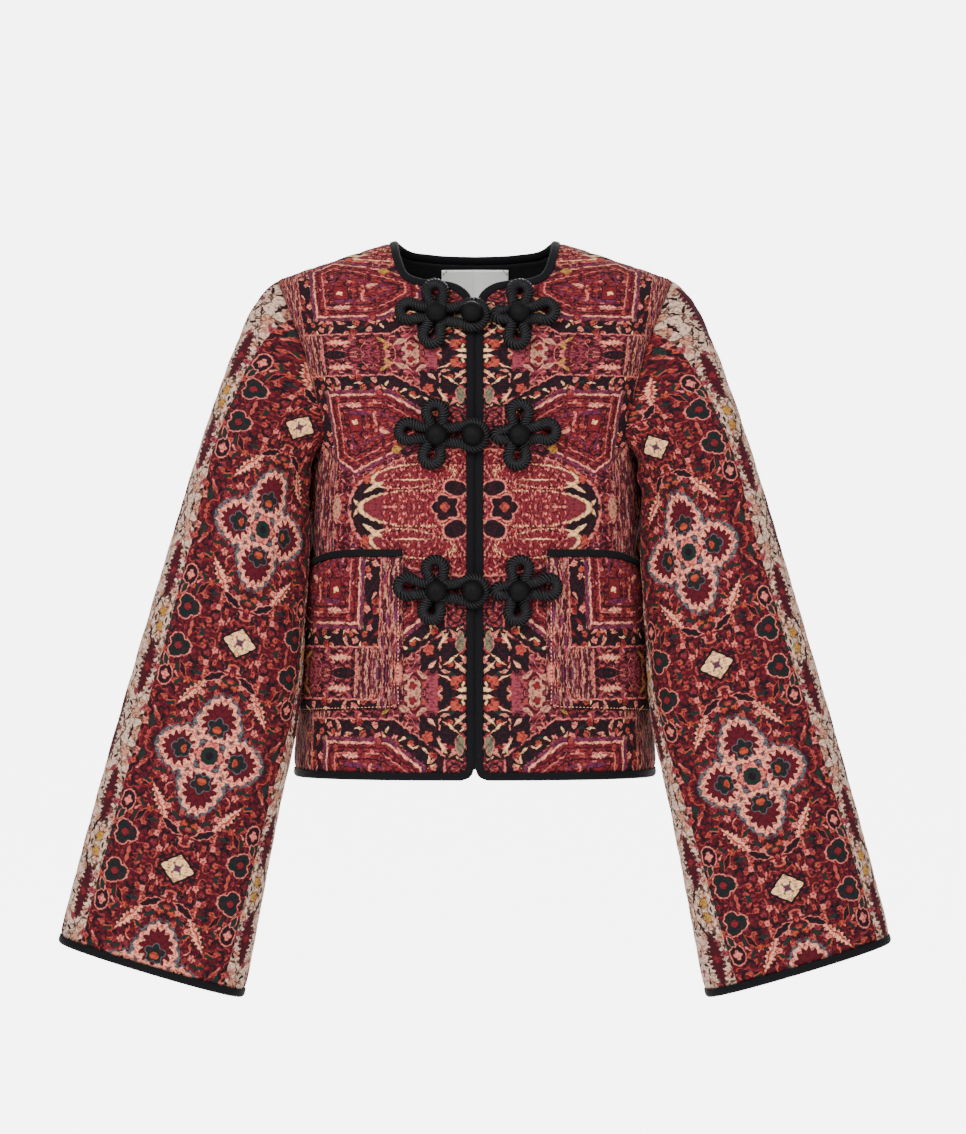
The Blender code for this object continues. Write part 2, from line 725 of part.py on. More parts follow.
def cloth(jacket):
    """Both fronts, the back and both sleeves, parted by a narrow gap at every seam."""
    front = front_places()
    back = back_places()
    front_points, front_normals = FRONT.points(front), FRONT.normals(front)
    back_points, back_normals = BACK.points(back), BACK.normals(back)

    armhole = np.concatenate((front_points[:LOWER_ROWS - 1:-1, -1], back_points[LOWER_ROWS + 1:-1, -1]))
    panel_normals = np.concatenate(
        (front_normals[:LOWER_ROWS - 1:-1, -1], back_normals[LOWER_ROWS + 1:-1, -1])
    )
    armhole[[0, UPPER_ROWS], 1] = 0.0
    sleeve = Sleeve(armhole)
    wall_end = 1 - (BINDING_WIDTH + SEAM_GAP) / sleeve.length
    points, normals = sleeve.rings(np.linspace(0.0, wall_end, SLEEVE_ROWS + 1))

    seam_normals = panel_normals + normals[0]
    around = np.roll(armhole, -1, axis=0) - np.roll(armhole, 1, axis=0)
    for top_or_underarm in (0, UPPER_ROWS):
        seam_normals[top_or_underarm, 1] = 0.0
        around[top_or_underarm, (0, 2)] = 0.0
    seam_normals = unit(seam_normals)
    to_sleeve = unit(np.cross(seam_normals, around)) * SEAM_GAP / 2
    points[0] += to_sleeve
    normals[0] = seam_normals

    front_points[:LOWER_ROWS - 1:-1, -1] -= to_sleeve[: UPPER_ROWS + 1]
    front_normals[:LOWER_ROWS - 1:-1, -1] = seam_normals[: UPPER_ROWS + 1]
    back_edge = np.append(np.arange(UPPER_ROWS, 2 * UPPER_ROWS), 0)
    back_points[LOWER_ROWS:, -1] -= to_sleeve[back_edge]
    back_normals[LOWER_ROWS:, -1] = seam_normals[back_edge]

    front_outer = quilted(front_points, front_normals, QUILT_RISE, False)
    front_inner = front_points - front_normals * WALL
    sleeve_outer = quilted(points, normals, QUILT_RISE, True)
    sleeve_inner = points - normals * WALL
    for name, turn in (("left", np.asarray), ("right", mirrored)):
        jacket.add_mesh(f"front_{name}", *wall_mesh(turn(front_outer), turn(front_inner), False), VELVET)
        jacket.add_mesh(f"sleeve_{name}", *wall_mesh(turn(sleeve_outer), turn(sleeve_inner), True), VELVET)
    back_outer = quilted(back_points, back_normals, QUILT_RISE, False)
    vertices, faces = wall_mesh(back_outer, back_points - back_normals * WALL, False, CENTRE_ROWS)
    other_faces = [tuple(corner + len(vertices) for corner in face) for face in faces]
    jacket.add_mesh("back", np.concatenate((vertices, mirrored(vertices))), faces + other_faces, VELVET)
    return sleeve


def bindings(jacket, sleeve):
    """Black bindings of the fronts, back neck, back hem and cuffs."""
    front = binding_sections(FRONT, whole_front_edge(BINDING_WIDTH), whole_front_edge(0.0))
    jacket.add_mesh("binding_front_left", *strip_mesh(front, False), BINDING)
    jacket.add_mesh("binding_front_right", *strip_mesh(mirrored(front), False), BINDING)
    for name, places in (("neck", back_neck_places), ("hem", back_hem_places)):
        sections = binding_sections(BACK, places(BINDING_WIDTH), places(0.0))
        jacket.add_mesh(f"binding_back_{name}", *strip_mesh(sections, False), BINDING)
    sewn_part = 1 - BINDING_WIDTH / sleeve.length
    rings, normals = sleeve.rings((2 * sewn_part - 1, sewn_part, 1.0))
    cuff = strip_sections(rings[1], rings[2], normals[1], normals[2])
    jacket.add_mesh("binding_cuff_left", *strip_mesh(cuff, True), BINDING)
    jacket.add_mesh("binding_cuff_right", *strip_mesh(mirrored(cuff), True), BINDING)


# Pieces laid on the panels

def pocket_places(top_inset):
    """Grid of places on a pocket, rows from its bottom to a line below its finished top."""
    outer_x = FRONT.point(POCKET_OUTER_ACROSS, FRONT.locate(0.0, POCKET_BOTTOM_Z)[1])[0]
    top_path = smooth_path(POCKET_TOP, PATH_POINTS)
    grid = np.zeros((POCKET_ROWS + 1, POCKET_COLUMNS + 1, 2))
    for column in range(POCKET_COLUMNS + 1):
        part = column / POCKET_COLUMNS
        for row in range(POCKET_ROWS + 1):
            height = row / POCKET_ROWS
            bottom = POCKET_BOTTOM_Z - POCKET_BOTTOM_DROP * part
            x = POCKET_INNER_X + (outer_x - POCKET_INNER_X) * part
            top = np.interp(x, top_path[:, 0], top_path[:, 1]) - top_inset
            z = bottom + (top - bottom) * height
            inner_across, up = FRONT.locate(POCKET_INNER_X, z)
            across = inner_across + (POCKET_OUTER_ACROSS - inner_across) * part
            grid[row, column] = across, up
    grid[0, 0] = FRONT.locate(POCKET_INNER_X + POCKET_CORNER, POCKET_BOTTOM_Z + POCKET_CORNER)
    return grid


def pockets(jacket):
    """Patch pockets with a bound top edge, lifted clear of the quilting below them."""
    places = pocket_places(BINDING_WIDTH + SEAM_GAP)
    normals = FRONT.normals(places)
    base = FRONT.points(places) + normals * POCKET_LIFT
    outer = quilted(base + normals * POCKET_WALL, normals, POCKET_RISE, False)
    edge_places = [pocket_places(inset)[-1] for inset in (BINDING_WIDTH, 0.0)]
    sewn, edge = (FRONT.points(row) for row in edge_places)
    sewn_normals, edge_normals = (FRONT.normals(row) for row in edge_places)
    lift = POCKET_LIFT + POCKET_WALL + BINDING_PROUD
    bound = strip_sections(sewn, edge, sewn_normals, edge_normals, lift, POCKET_WALL)
    for name, turn in (("left", np.asarray), ("right", mirrored)):
        jacket.add_mesh(f"pocket_{name}", *wall_mesh(turn(outer), turn(base), False), VELVET)
        jacket.add_mesh(f"binding_pocket_{name}", *strip_mesh(turn(bound), False), BINDING)


def neck_facing(jacket):
    """Black facing and bare label inside the back neck, where they show over the fronts."""
    insets = np.linspace(BINDING_WIDTH + SEAM_GAP, FACING_DEPTH, FACING_ROWS + 1)
    places = np.array([back_neck_places(inset) for inset in insets])
    points, normals = BACK.points(places), BACK.normals(places)
    outer = points - normals * (WALL + FACING_LIFT)
    inner = outer - normals * FACING_WALL
    jacket.add_mesh("neck_facing", *wall_mesh(outer, inner, False), FACING_CLOTH)

    top_z = BACK_NECKLINE[-1][1] - LABEL_TOP
    grid = np.zeros((LABEL_ROWS + 1, LABEL_COLUMNS + 1, 2))
    for row in range(LABEL_ROWS + 1):
        for column in range(LABEL_COLUMNS + 1):
            x = LABEL_WIDTH * (column / LABEL_COLUMNS - 0.5)
            z = top_z - LABEL_HEIGHT * row / LABEL_ROWS
            grid[row, column] = BACK.locate(x, z)
    depth = WALL + FACING_LIFT + FACING_WALL + LABEL_LIFT
    label_normals = BACK.normals(grid)
    label_outer = BACK.points(grid) - label_normals * depth
    label_inner = label_outer - label_normals * LABEL_WALL
    jacket.add_mesh("label", *wall_mesh(label_outer, label_inner, False), LABEL_CLOTH)


# Frog fastenings

def clover_path(petals):
    """Closed path of a rope that runs out and back along each loop in turn, in the flat."""
    points = []
    count = len(petals)
    for index, (direction, distance, radius) in enumerate(petals):
        middle = np.array((math.cos(math.radians(direction)), math.sin(math.radians(direction)))) * distance
        for step in range(PETAL_POINTS):
            sweep = PETAL_SWEEP * (2 * step / (PETAL_POINTS - 1) - 1)
            angle = math.radians(direction + sweep)
            points.append(middle + radius * np.array((math.cos(angle), math.sin(angle))))
        following = petals[(index + 1) % count][0]
        if following < direction:
            following += 360.0
        between = math.radians((direction + following) / 2)
        points.append(CORD_TURN * np.array((math.cos(between), math.sin(between))))
    return points


def on_front(x, z, lift):
    """Point above the fronts and the outward direction there."""
    across, up = FRONT.locate(x, z)
    normal = FRONT.normal(across, up)
    return FRONT.point(across, up) + normal * lift, normal


def cord_height(x, z):
    """Height of the middle of a rope above the fronts, where it also passes over a pocket."""
    height = CORD_LIFT + CORD_RADIUS
    if POCKET_BOTTOM_Z < z < POCKET_TOP[0][1]:
        climb = (abs(x) - POCKET_INNER_X + CORD_CLIMB) / CORD_CLIMB
        height += CORD_POCKET_LIFT * min(1.0, max(0.0, climb))
    return height


def add_cord(jacket, name, petals, x, z):
    """Rope half of a frog as a closed tube laid on the fronts."""
    curve = bpy.data.curves.new(name, "CURVE")
    curve.dimensions = "3D"
    curve.bevel_depth = CORD_RADIUS
    curve.bevel_resolution = 1
    path = clover_path(petals)
    spline = curve.splines.new("POLY")
    spline.points.add(len(path) - 1)
    for place, (right, up) in zip(spline.points, path):
        lift = cord_height(x + right, z + up)
        place.co = (*on_front(x + right, z + up, lift)[0], 1.0)
    spline.use_cyclic_u = True
    jacket.add(name, curve, ROPE)


def add_knob(jacket, name, x, z):
    """Cloth-covered knob: a slightly flattened half ball on top of the rope."""
    shape = bmesh.new()
    bmesh.ops.create_uvsphere(shape, u_segments=KNOB_SEGMENTS, v_segments=KNOB_RINGS, radius=KNOB_RADIUS)
    cut = bmesh.ops.bisect_plane(
        shape, geom=shape.verts[:] + shape.edges[:] + shape.faces[:],
        plane_co=(0, 0, 0), plane_no=(0, 0, -1), clear_outer=True,
    )
    rim = [item for item in cut["geom_cut"] if isinstance(item, bmesh.types.BMEdge)]
    bmesh.ops.contextual_create(shape, geom=rim)
    bmesh.ops.scale(shape, vec=(1, 1, KNOB_FLATTENING), verts=shape.verts)
    bmesh.ops.recalc_face_normals(shape, faces=shape.faces)
    mesh = bpy.data.meshes.new(name)
    shape.to_mesh(mesh)
    shape.free()
    mesh.shade_smooth()
    knob = jacket.add(name, mesh, KNOB_CLOTH)
    place, normal = on_front(x, z, CORD_LIFT + 2 * CORD_RADIUS + SEAM_GAP)
    knob.location = place
    knob.rotation_mode = "QUATERNION"
    knob.rotation_quaternion = Vector(normal).to_track_quat("Z", "Y")


def frogs(jacket):
    """Three frogs, each with a loop half, a knob half and three knobs."""
    for name, z in zip(FROG_NAMES, FROG_HEIGHTS):
        loop_x = FROG_CENTRE_X + LOOP_HALF_X
        knob_x = FROG_CENTRE_X + KNOB_HALF_X
        add_cord(jacket, f"frog_{name}_loop_cord", LOOP_HALF, loop_x, z)
        add_cord(jacket, f"frog_{name}_knob_cord", KNOB_HALF, knob_x, z)
        for place, x in (("right", loop_x), ("centre", FROG_CENTRE_X), ("left", knob_x)):
            add_knob(jacket, f"frog_{name}_knob_{place}", x, z)


def clear_scene():
    """Remove every object that the file opened with."""
    for item in list(bpy.data.objects):
        bpy.data.objects.remove(item, do_unlink=True)


def main():
    """Build the jacket."""
    clear_scene()
    jacket = Jacket()
    sleeve = cloth(jacket)
    bindings(jacket, sleeve)
    pockets(jacket)
    neck_facing(jacket)
    frogs(jacket)


main()
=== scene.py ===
"""Frog-button jacket in a studio: printed quilted velvet, bound edges and rope fastenings.

Metres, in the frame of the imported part: +Z up, the front faces -Y and +X is the wearer's left.
"""

import math

import bmesh
import bpy
import numpy as np
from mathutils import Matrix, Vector

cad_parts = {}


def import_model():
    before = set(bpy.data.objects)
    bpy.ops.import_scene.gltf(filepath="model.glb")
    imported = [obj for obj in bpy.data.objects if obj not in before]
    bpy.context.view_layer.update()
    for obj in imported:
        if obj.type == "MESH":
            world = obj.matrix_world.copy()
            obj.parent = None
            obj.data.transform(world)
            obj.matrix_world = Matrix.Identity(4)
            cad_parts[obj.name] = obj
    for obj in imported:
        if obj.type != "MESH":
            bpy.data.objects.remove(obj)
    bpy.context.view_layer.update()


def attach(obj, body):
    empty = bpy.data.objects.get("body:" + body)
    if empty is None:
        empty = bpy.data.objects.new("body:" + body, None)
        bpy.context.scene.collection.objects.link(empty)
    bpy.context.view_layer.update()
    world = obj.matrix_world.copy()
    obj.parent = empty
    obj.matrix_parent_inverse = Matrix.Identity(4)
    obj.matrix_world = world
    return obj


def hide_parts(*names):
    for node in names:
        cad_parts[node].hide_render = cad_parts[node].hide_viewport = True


FLAT_LAYER = "flat"
MILLIMETRES = 1000.0
FULL_TURN = 360.0
SMALLEST_LENGTH = 1e-12

# Torso, as in the part: half widths from the centre line and depths from the side seam
HEM_Z = -0.491
CHEST_Z = -0.205
HEM_HALF_WIDTH = 0.166
CHEST_HALF_WIDTH = 0.152
SHOULDER_HALF_WIDTH = 0.183
NECK_HALF_WIDTH = 0.0715
SHOULDER_DROP = 0.037
FRONT_DEPTHS = (0.125, 0.122)
BACK_DEPTHS = (0.118, 0.113)
SECTION_POWER = 2.4
WIDENING_POWER = 1.6
WIDENING_START = 1.3
NECK_POWER = 2.0
SHOULDER_POWER = 3.0
WALL = 0.0030
SEAM_GAP = 0.0003
BINDING_WIDTH = 0.0065
FRONT_MEETING_GAP = 0.0008
HEM_CORNER_RADIUS = 0.012

# Neckline from the shoulder seam to the centre, and armholes from the underarm up: x, z
FRONT_NECKLINE = (
    (0.0715, 0.0000),
    (0.0670, -0.0200),
    (0.0610, -0.0330),
    (0.0490, -0.0385),
    (0.0300, -0.0405),
    (0.0155, -0.0445),
    (0.0060, -0.0520),
    (0.0004, -0.0640),
)
NECK_CORNER_X = 0.0100
BACK_NECKLINE = ((0.0715, 0.0000), (0.0620, -0.0058), (0.0400, -0.0092), (0.0000, -0.0105))
FRONT_ARMHOLE = ((0.1370, -0.1740), (0.1445, -0.1460), (0.1570, -0.1000), (0.1725, -0.0600))
BACK_ARMHOLE = ((0.1430, -0.1740), (0.1500, -0.1460), (0.1600, -0.1000), (0.1735, -0.0600))

# Sleeve edges seen from the front: x, z; then part of length, half depth, lean to the front
SLEEVE_OUTER = (
    (0.183, -0.037),
    (0.199, -0.055),
    (0.216, -0.091),
    (0.235, -0.146),
    (0.280, -0.294),
    (0.343, -0.512),
    (0.377, -0.639),
)
SLEEVE_INNER = (
    (0.152, -0.205),
    (0.152, -0.293),
    (0.155, -0.367),
    (0.161, -0.441),
    (0.176, -0.512),
    (0.2095, -0.689),
)
SLEEVE_DEPTHS = (
    (0.00, 0.064, 0.000),
    (0.10, 0.063, -0.018),
    (0.20, 0.060, -0.046),
    (0.38, 0.054, -0.064),
    (0.65, 0.052, -0.068),
    (1.00, 0.050, -0.068),
)
SLEEVE_POWER = 2.3
SLEEVE_INNER_DELAY = 1.35
CAP_BLEND = 0.30
BODY_CLEARANCE = 0.0095
CLEARANCE_START = 0.08
# Soft folds on each sleeve: start and end along it, angle from its outer edge over the front, width
# of the fold in degrees, depth (a hollow is positive)
SLEEVE_FOLDS = (
    (0.10, 0.46, 128.0, 20.0, 0.0050),
    (0.12, 0.40, 158.0, 18.0, -0.0030),
    (0.30, 0.80, 96.0, 22.0, 0.0030),
    (0.10, 0.50, 232.0, 20.0, 0.0060),
    (0.35, 0.85, 268.0, 24.0, 0.0030),
)

# Creases: from u, v to u, v on the flat cloth, width, depth (a ridge is negative)
SLEEVE_CREASES = (
    (0.080, 0.470, -0.020, 0.380, 0.0090, 0.0026),
    (0.085, 0.430, 0.000, 0.300, 0.0110, 0.0026),
    (0.050, 0.270, -0.070, 0.190, 0.0120, 0.0022),
    (-0.060, 0.570, -0.030, 0.450, 0.0120, 0.0018),
    (-0.270, 0.470, -0.170, 0.380, 0.0100, 0.0028),
    (-0.275, 0.420, -0.190, 0.280, 0.0110, 0.0028),
    (-0.140, 0.280, -0.240, 0.200, 0.0120, 0.0024),
    (0.071, 0.505, 0.071, 0.420, 0.0095, -0.0045),
)
FRONT_FOLDS = (
    (0.205, -0.010, 0.120, 0.050, 0.0090, 0.0030),
    (0.215, -0.030, 0.150, -0.120, 0.0110, 0.0034),
    (0.165, 0.120, 0.135, -0.010, 0.0120, 0.0028),
    (0.180, -0.150, 0.176, -0.286, 0.0160, 0.0026),
    (0.075, -0.190, 0.085, -0.286, 0.0180, 0.0020),
)
BACK_FOLDS = (
    (0.200, -0.010, 0.110, 0.060, 0.0100, 0.0034),
    (0.205, -0.040, 0.135, -0.150, 0.0120, 0.0036),
    (0.030, -0.060, 0.045, -0.286, 0.0180, 0.0030),
    (0.110, -0.100, 0.118, -0.286, 0.0170, 0.0030),
    (0.060, 0.140, 0.020, 0.010, 0.0160, 0.0020),
)
PLAY_LENGTHS = (0.061, 0.043)
FOLD_PLAY = 0.35
FOLD_WANDER = 0.35
FOLD_RIDGE = 0.40
RIDGE_PLACE = 2.0
BACK_SEED = 3
FOLD_FADE = 0.0180

# Mesh rows and columns
COLUMNS = 84
LOWER_ROWS = 77
UPPER_ROWS = 77
NECK_ROWS = 42
CENTRE_ROWS = LOWER_ROWS + UPPER_ROWS - NECK_ROWS
CORNER_LEAD = 0.0012
CORNER_POINTS = 25
SLEEVE_ROWS = 190
PATH_POINTS = 240
EDGE_LIMIT = 0.995
STEP = 0.0005
LOCATE_ROUNDS = 12
FLAT_STEPS = 16
WELD_DISTANCE = 1e-6

# Quilting: two families of stitched lines
QUILT_ANGLE = math.radians(32.0)
QUILT_SPACING = 0.024
QUILT_RISE = 0.0011
QUILT_SOFTNESS = 0.0032
EDGE_FADE = 0.0060
SEAM_DIP = 0.0008
SEAM_DIP_WIDTH = 0.0030

# Pockets, facing and label
POCKET_INNER_X = 0.064
POCKET_OUTER_ACROSS = 0.88
POCKET_TOP = ((0.0640, -0.2840), (0.1100, -0.2860), (0.1500, -0.3010), (0.1600, -0.3050))
POCKET_BOTTOM_Z = -0.4270
POCKET_BOTTOM_DROP = 0.006
POCKET_CORNER = 0.008
POCKET_COLUMNS = 44
POCKET_ROWS = 60
POCKET_LIFT = 0.0026
POCKET_SEWN_LIFT = 0.0003
POCKET_BEND = 0.0040
POCKET_PRESS = 0.0040
POCKET_WALL = 0.0018
POCKET_QUILT = 0.7
POCKET_ROLL = 0.0013
POCKET_PRINT_TURN = 0.233
POCKET_PRINT_RISE = 0.0175
FACING_DEPTH = 0.062
FACING_LIFT = 0.0030
FACING_WALL = 0.0010
FACING_ROWS = 20
LABEL_WIDTH = 0.065
LABEL_TOP = 0.0080
LABEL_HEIGHT = 0.048
LABEL_WALL = 0.0008
LABEL_LIFT = 0.0012
LABEL_COLUMNS = 40
LABEL_ROWS = 30
LABEL_STITCH_CELLS = 3

# Bindings: thickness of the tape, and its fold as part of the width and part of the half thickness.
# A lapped tape covers the seam, and its fold reaches on so that the two centre edges meet.
BINDING_PROUD = 0.0007
TAPE_WALL = 0.0005
TAPE_FINENESS = 2
TAPE_PROFILE = ((0.0, 0.90), (0.10, 0.95), (0.30, 1.0), (0.55, 0.98), (0.78, 0.82), (0.93, 0.50), (1.0, 0.0))
LAPPED_PROFILE = ((-0.06, 1.0), *TAPE_PROFILE[:-1], (1.055, 0.0))

# Stitches
STITCH_LENGTH = 0.0026
STITCH_GAP = 0.0010
STITCH_RADIUS = 0.00040
STITCH_SIDES = 6
STITCH_ARCH = (0.1, 0.8, 1.0, 0.8, 0.1)
STITCH_SINK = 0.0005
STITCH_GROOVE = 0.0012

# Frogs
FROG_HEIGHTS = (-0.0757, -0.1824, -0.3215)
FROG_NAMES = ("top", "middle", "bottom")
FROG_CENTRE_X = -0.0020
CORD_RADIUS = 0.0045
CORD_LIFT = 0.0020
CORD_POCKET_LIFT = 0.0040
CORD_CLIMB = 0.0110
CORD_TURN = 0.0066
PETAL_POINTS = 24
PETAL_SWEEP = 138.0
LOOP_HALF_X = -0.0310
# Loops of each half: direction in degrees from +X, distance from its knob, loop radius
LOOP_HALF = (
    (0.0, 0.0310, 0.0112),
    (95.0, 0.0200, 0.0083),
    (172.0, 0.0255, 0.0083),
    (255.0, 0.0185, 0.0083),
)
KNOB_HALF_X = 0.0400
KNOB_HALF = (
    (8.0, 0.0255, 0.0083),
    (85.0, 0.0200, 0.0083),
    (180.0, 0.0155, 0.0047),
    (268.0, 0.0190, 0.0083),
)
STRANDS = 5
STRAND_PITCH = 0.0125
STRAND_OFFSET = 0.0033
STRAND_RADIUS = 0.0018
STRAND_SIDES = 7
STRAND_STEP = 0.0011
STRAND_GIRTH = 2 * MILLIMETRES * STRAND_SIDES * STRAND_RADIUS * math.sin(math.pi / STRAND_SIDES)
CORD_SOFTNESS = 0.0022
CORD_SOFT_REACH = 3
KNOB_RADIUS = 0.0098
KNOB_FLATTENING = 0.88
KNOB_SEGMENTS = 56
KNOB_RINGS = 16
KNOB_TUCK = -0.35
KNOB_CROWN = 0.04
KNOB_RISE = 0.0025
KNOB_GATHER = 0.02
KNOB_PLEATS = 14

# Inks and cloth colours, linear red green blue
INKS = {
    "red": (0.167, 0.014, 0.018),
    "dark_red": (0.087, 0.008, 0.012),
    "maroon": (0.052, 0.006, 0.011),
    "brick": (0.167, 0.022, 0.030),
    "rose": (0.245, 0.040, 0.056),
    "coral": (0.380, 0.055, 0.036),
    "orange": (0.400, 0.055, 0.022),
    "pink": (0.660, 0.160, 0.125),
    "pale_pink": (0.860, 0.330, 0.210),
    "cream": (0.950, 0.520, 0.240),
    "ivory": (0.640, 0.430, 0.320),
    "beige": (0.500, 0.220, 0.140),
    "ochre": (0.423, 0.205, 0.036),
    "brown": (0.099, 0.049, 0.033),
    "black": (0.008, 0.007, 0.009),
    "leaf_green": (0.006, 0.024, 0.018),
    "teal": (0.005, 0.015, 0.014),
    "slate": (0.075, 0.098, 0.105),
    "plum": (0.115, 0.021, 0.060),
    "sage": (0.150, 0.140, 0.085),
    "stitch": (0.050, 0.008, 0.012),
    "backing": (0.012, 0.011, 0.012),
    "binding": (0.005, 0.005, 0.006),
    "binding_light": (0.009, 0.009, 0.010),
    "rope": (0.003, 0.003, 0.003),
    # lighter fibres of the rope, fibre texture that is also a faint painted highlight; raised threads of the
    # knob cloth
    "rope_light": (0.004, 0.004, 0.004),
    # painted highlight along the outward crest of each rope strand
    "rope_crest_highlight": (0.017, 0.017, 0.019),
    "thread": (0.006, 0.005, 0.006),
    "label": (0.85, 0.84, 0.82),
    "label_shade": (0.72, 0.71, 0.69),
    "paper": (0.95, 0.95, 0.95),
}

# Lie of the print on the sleeves: the left one's shift and slant, and the narrowing towards both caps
LEFT_SLEEVE_SHIFT = (0.01175, 0.0205)
LEFT_SLEEVE_SLANT = -0.033
CAP_START = 0.38
CAP_LENGTH = 0.24
CAP_NARROWING = 0.42

# Print, in millimetres of the flat cloth
EDGE_SOFTNESS = 0.7
PATCH_SOFTNESS = 0.10
PATCH_DETAIL = 2.0
VINE_SOFTNESS = 0.02
CHANCE_SOFTNESS = 0.02
EVEN_CHANCE = 0.5
NOISE_MIDDLE = 0.5
WANDER_SIZE = 5.0
WANDER_REACH = 2.8
PETAL_COUNTS = {"trefoil": 3, "star": 4, "flower": 5}
PETAL_DEPTH = 0.34
FLOWER_HEART = 0.68
FERN_TOOTH = 4.4
FERN_DEPTH = 0.26
STITCH_REPEAT = 1.8
STITCH_SHARE = 0.7
STITCH_HALF_WIDTH = 0.3
WEAR_STRENGTH = 0.55
# Patches: shift, stretch across and up, size, level of noise above which they show, ink
WEAR = (
    (0, 0.7, 1.3, 2.2, 0.56, "maroon"),
    (90, 0.7, 1.3, 2.8, 0.64, "black"),
)
SLEEVE_HALF_REPEAT = 105.0
SLEEVE_START = -14.0
SLEEVE_SLANT = 0.04
SLEEVE_SHIFT = 3.75
SLEEVE_BAND = 69.0
SLEEVE_GROUND = (
    (0, 1, 1, 7, 0.50, "dark_red"),
    (90, 1, 1, 3.5, 0.55, "maroon"),
    (190, 1, 1, 4, 0.58, "black"),
)
# Strewn shapes: kind, shift, spacing, half sizes, two inks, share of the places that show one
SLEEVE_STREWN = (
    ("leaf", 0, 6.5, 3.6, 1.2, ("maroon", "black"), 0.8),
    ("flower", 300, 8.5, 2.6, 2.6, ("coral", "brick"), 0.52),
    ("leaf", 500, 9, 4.2, 1, ("pink", "coral"), 0.38),
    ("flower", 900, 13, 3.4, 3.4, ("orange", "pink"), 0.4),
    ("leaf", 700, 11, 5, 1.7, ("black", "leaf_green"), 0.7),
)
# Vines: spacing, half width, ink
SLEEVE_VINES = (22, 0.22, "coral")
# Motifs: ink, kind, x, y, half sizes, turn in degrees, and for some an outline ink and its width
SLEEVE_FIELD = (
    ("pale_pink", "fern", 31, 52, 18, 4.6, 125, "maroon", 0.8),
    ("coral", "leaf", 31.5, 52.5, 16, 1, 125),
    ("black", "leaf", 15, 70, 11, 3.2, 152, "pink", 0.7),
    ("black", "leaf", 45, 68, 8, 2.2, 60, "coral", 0.7),
    ("leaf_green", "oval", 60, 16, 3, 6, 0),
)
# Petals of a rosette: lie along the sleeve, place, half sizes; layers: growth, tooth depth, ink, patches
ROSETTE_PETALS = ((True, 33, 21, 19), (False, 29.5, 18.5, 19))
PETAL_TAPER = 0.28
PETAL_TEETH = 13.0
PETAL_LAYERS = (
    (3.4, 0.8, "slate", "dark_red"),
    (0, 1.3, "pale_pink", "pink"),
    (-5.2, 2, "dark_red", "maroon"),
)
PETAL_PATCHES = (400, 1, 1, 3, 0.55)
ROSETTE_HEART = (
    ("teal", "flower", 26, 0, 9, 9, 0, "slate", 0.9),
    ("orange", "oval", 24, 0, 3.2, 3.8, 0),
)
ROSETTE_HUB = (
    ("pink", "flower", 0, 0, 13, 13, 0, "red", 0.8),
    ("leaf_green", "oval", 0, 0, 8, 8, 0),
    ("black", "oval", 0, 0, 3.6, 3.6, 0),
)
SLEEVE_DIAMOND = (
    ("cream", "lozenge", 0, 105, 15, 13.2, 0, "black", 3),
    ("slate", "leaf", 0, 105, 6, 1.6, -45),
    ("plum", "leaf", 0, 105, 5, 1.6, 45),
)
SLEEVE_BORDER = (
    ("teal", "trefoil", 54, 87, 11.5, 11.5, 180, "pink", 1.3),
    ("red", "oval", 55, 87, 3, 3.6, 0, "black", 0.8),
    ("black", "oval", 60, 59, 6.5, 9, 0, "pink", 1),
    ("pink", "star", 60, 59, 4.4, 4.4, 0),
    ("leaf_green", "leaf", 63, 72, 6, 2.4, 70, "pink", 0.9),
)
BAND_STREWN = (
    ("leaf", 1100, 8, 4.6, 1.2, ("brown", "black"), 0.8),
    ("flower", 1400, 13, 4, 4, ("rose", "beige"), 0.6),
)
BAND_VINES = (14, 0.3, "brown")
BAND_MOTIFS = (
    ("maroon", "fern", 82, 60, 26, 9, 90, "brown", 0.8),
    ("red", "star", 82, 60, 4, 4, 0),
    ("beige", "flower", 78, 18, 5.5, 5.5, 0, "brown", 0.8),
    ("ochre", "flower", 80, 98, 5, 5, 0, "brown", 0.8),
    ("black", "leaf", 88, 88, 15, 1.2, 62),
    ("maroon", "fern", 105, 10, 24, 9, 90, "black", 0.8),
)
BODY_AXIS = -41.0
BODY_UP_REACH = 139.0
BODY_DOWN_REACH = 167.0
BODY_REACH = 156.0
BODY_GROUND = (
    (0, 1, 1.4, 9, 0.54, "rose"),
    (90, 0.6, 1.6, 4.5, 0.53, "maroon"),
    (190, 0.7, 1.5, 3.5, 0.60, "black"),
)
BODY_STREWN = (
    ("flower", 300, 8, 2.3, 2.3, ("coral", "rose"), 0.5),
    ("leaf", 600, 7, 3.4, 0.8, ("pink", "black"), 0.5),
    ("leaf", 900, 9, 4.4, 1.3, ("maroon", "black"), 0.7),
)
BODY_VINES = (18, 0.16, "pink")
BODY_FIELD = (
    ("beige", "flower", 52, 151, 7.5, 7.5, 0),
    ("beige", "leaf", 60, 143, 7, 2.6, 25),
    ("beige", "leaf", 44, 141, 7, 2, -35),
    ("red", "star", 52, 150, 3.6, 3.6, 20),
    ("rose", "block", 35, 150, 4, 9, 0),
    ("ochre", "leaf", 72, 148, 5, 1.6, 60),
    ("ochre", "leaf", 76, 141, 5, 1.5, 140),
    ("pale_pink", "fern", 115, 143, 13, 3.4, 0, "coral", 0.6),
    ("black", "leaf", 120, 154, 13, 2.6, 0),
    ("pink", "block", 131, 148, 0.6, 12, 0),
)
CENTRE_WIDTH = 31.0
CENTRE_LOWEST = 100.0
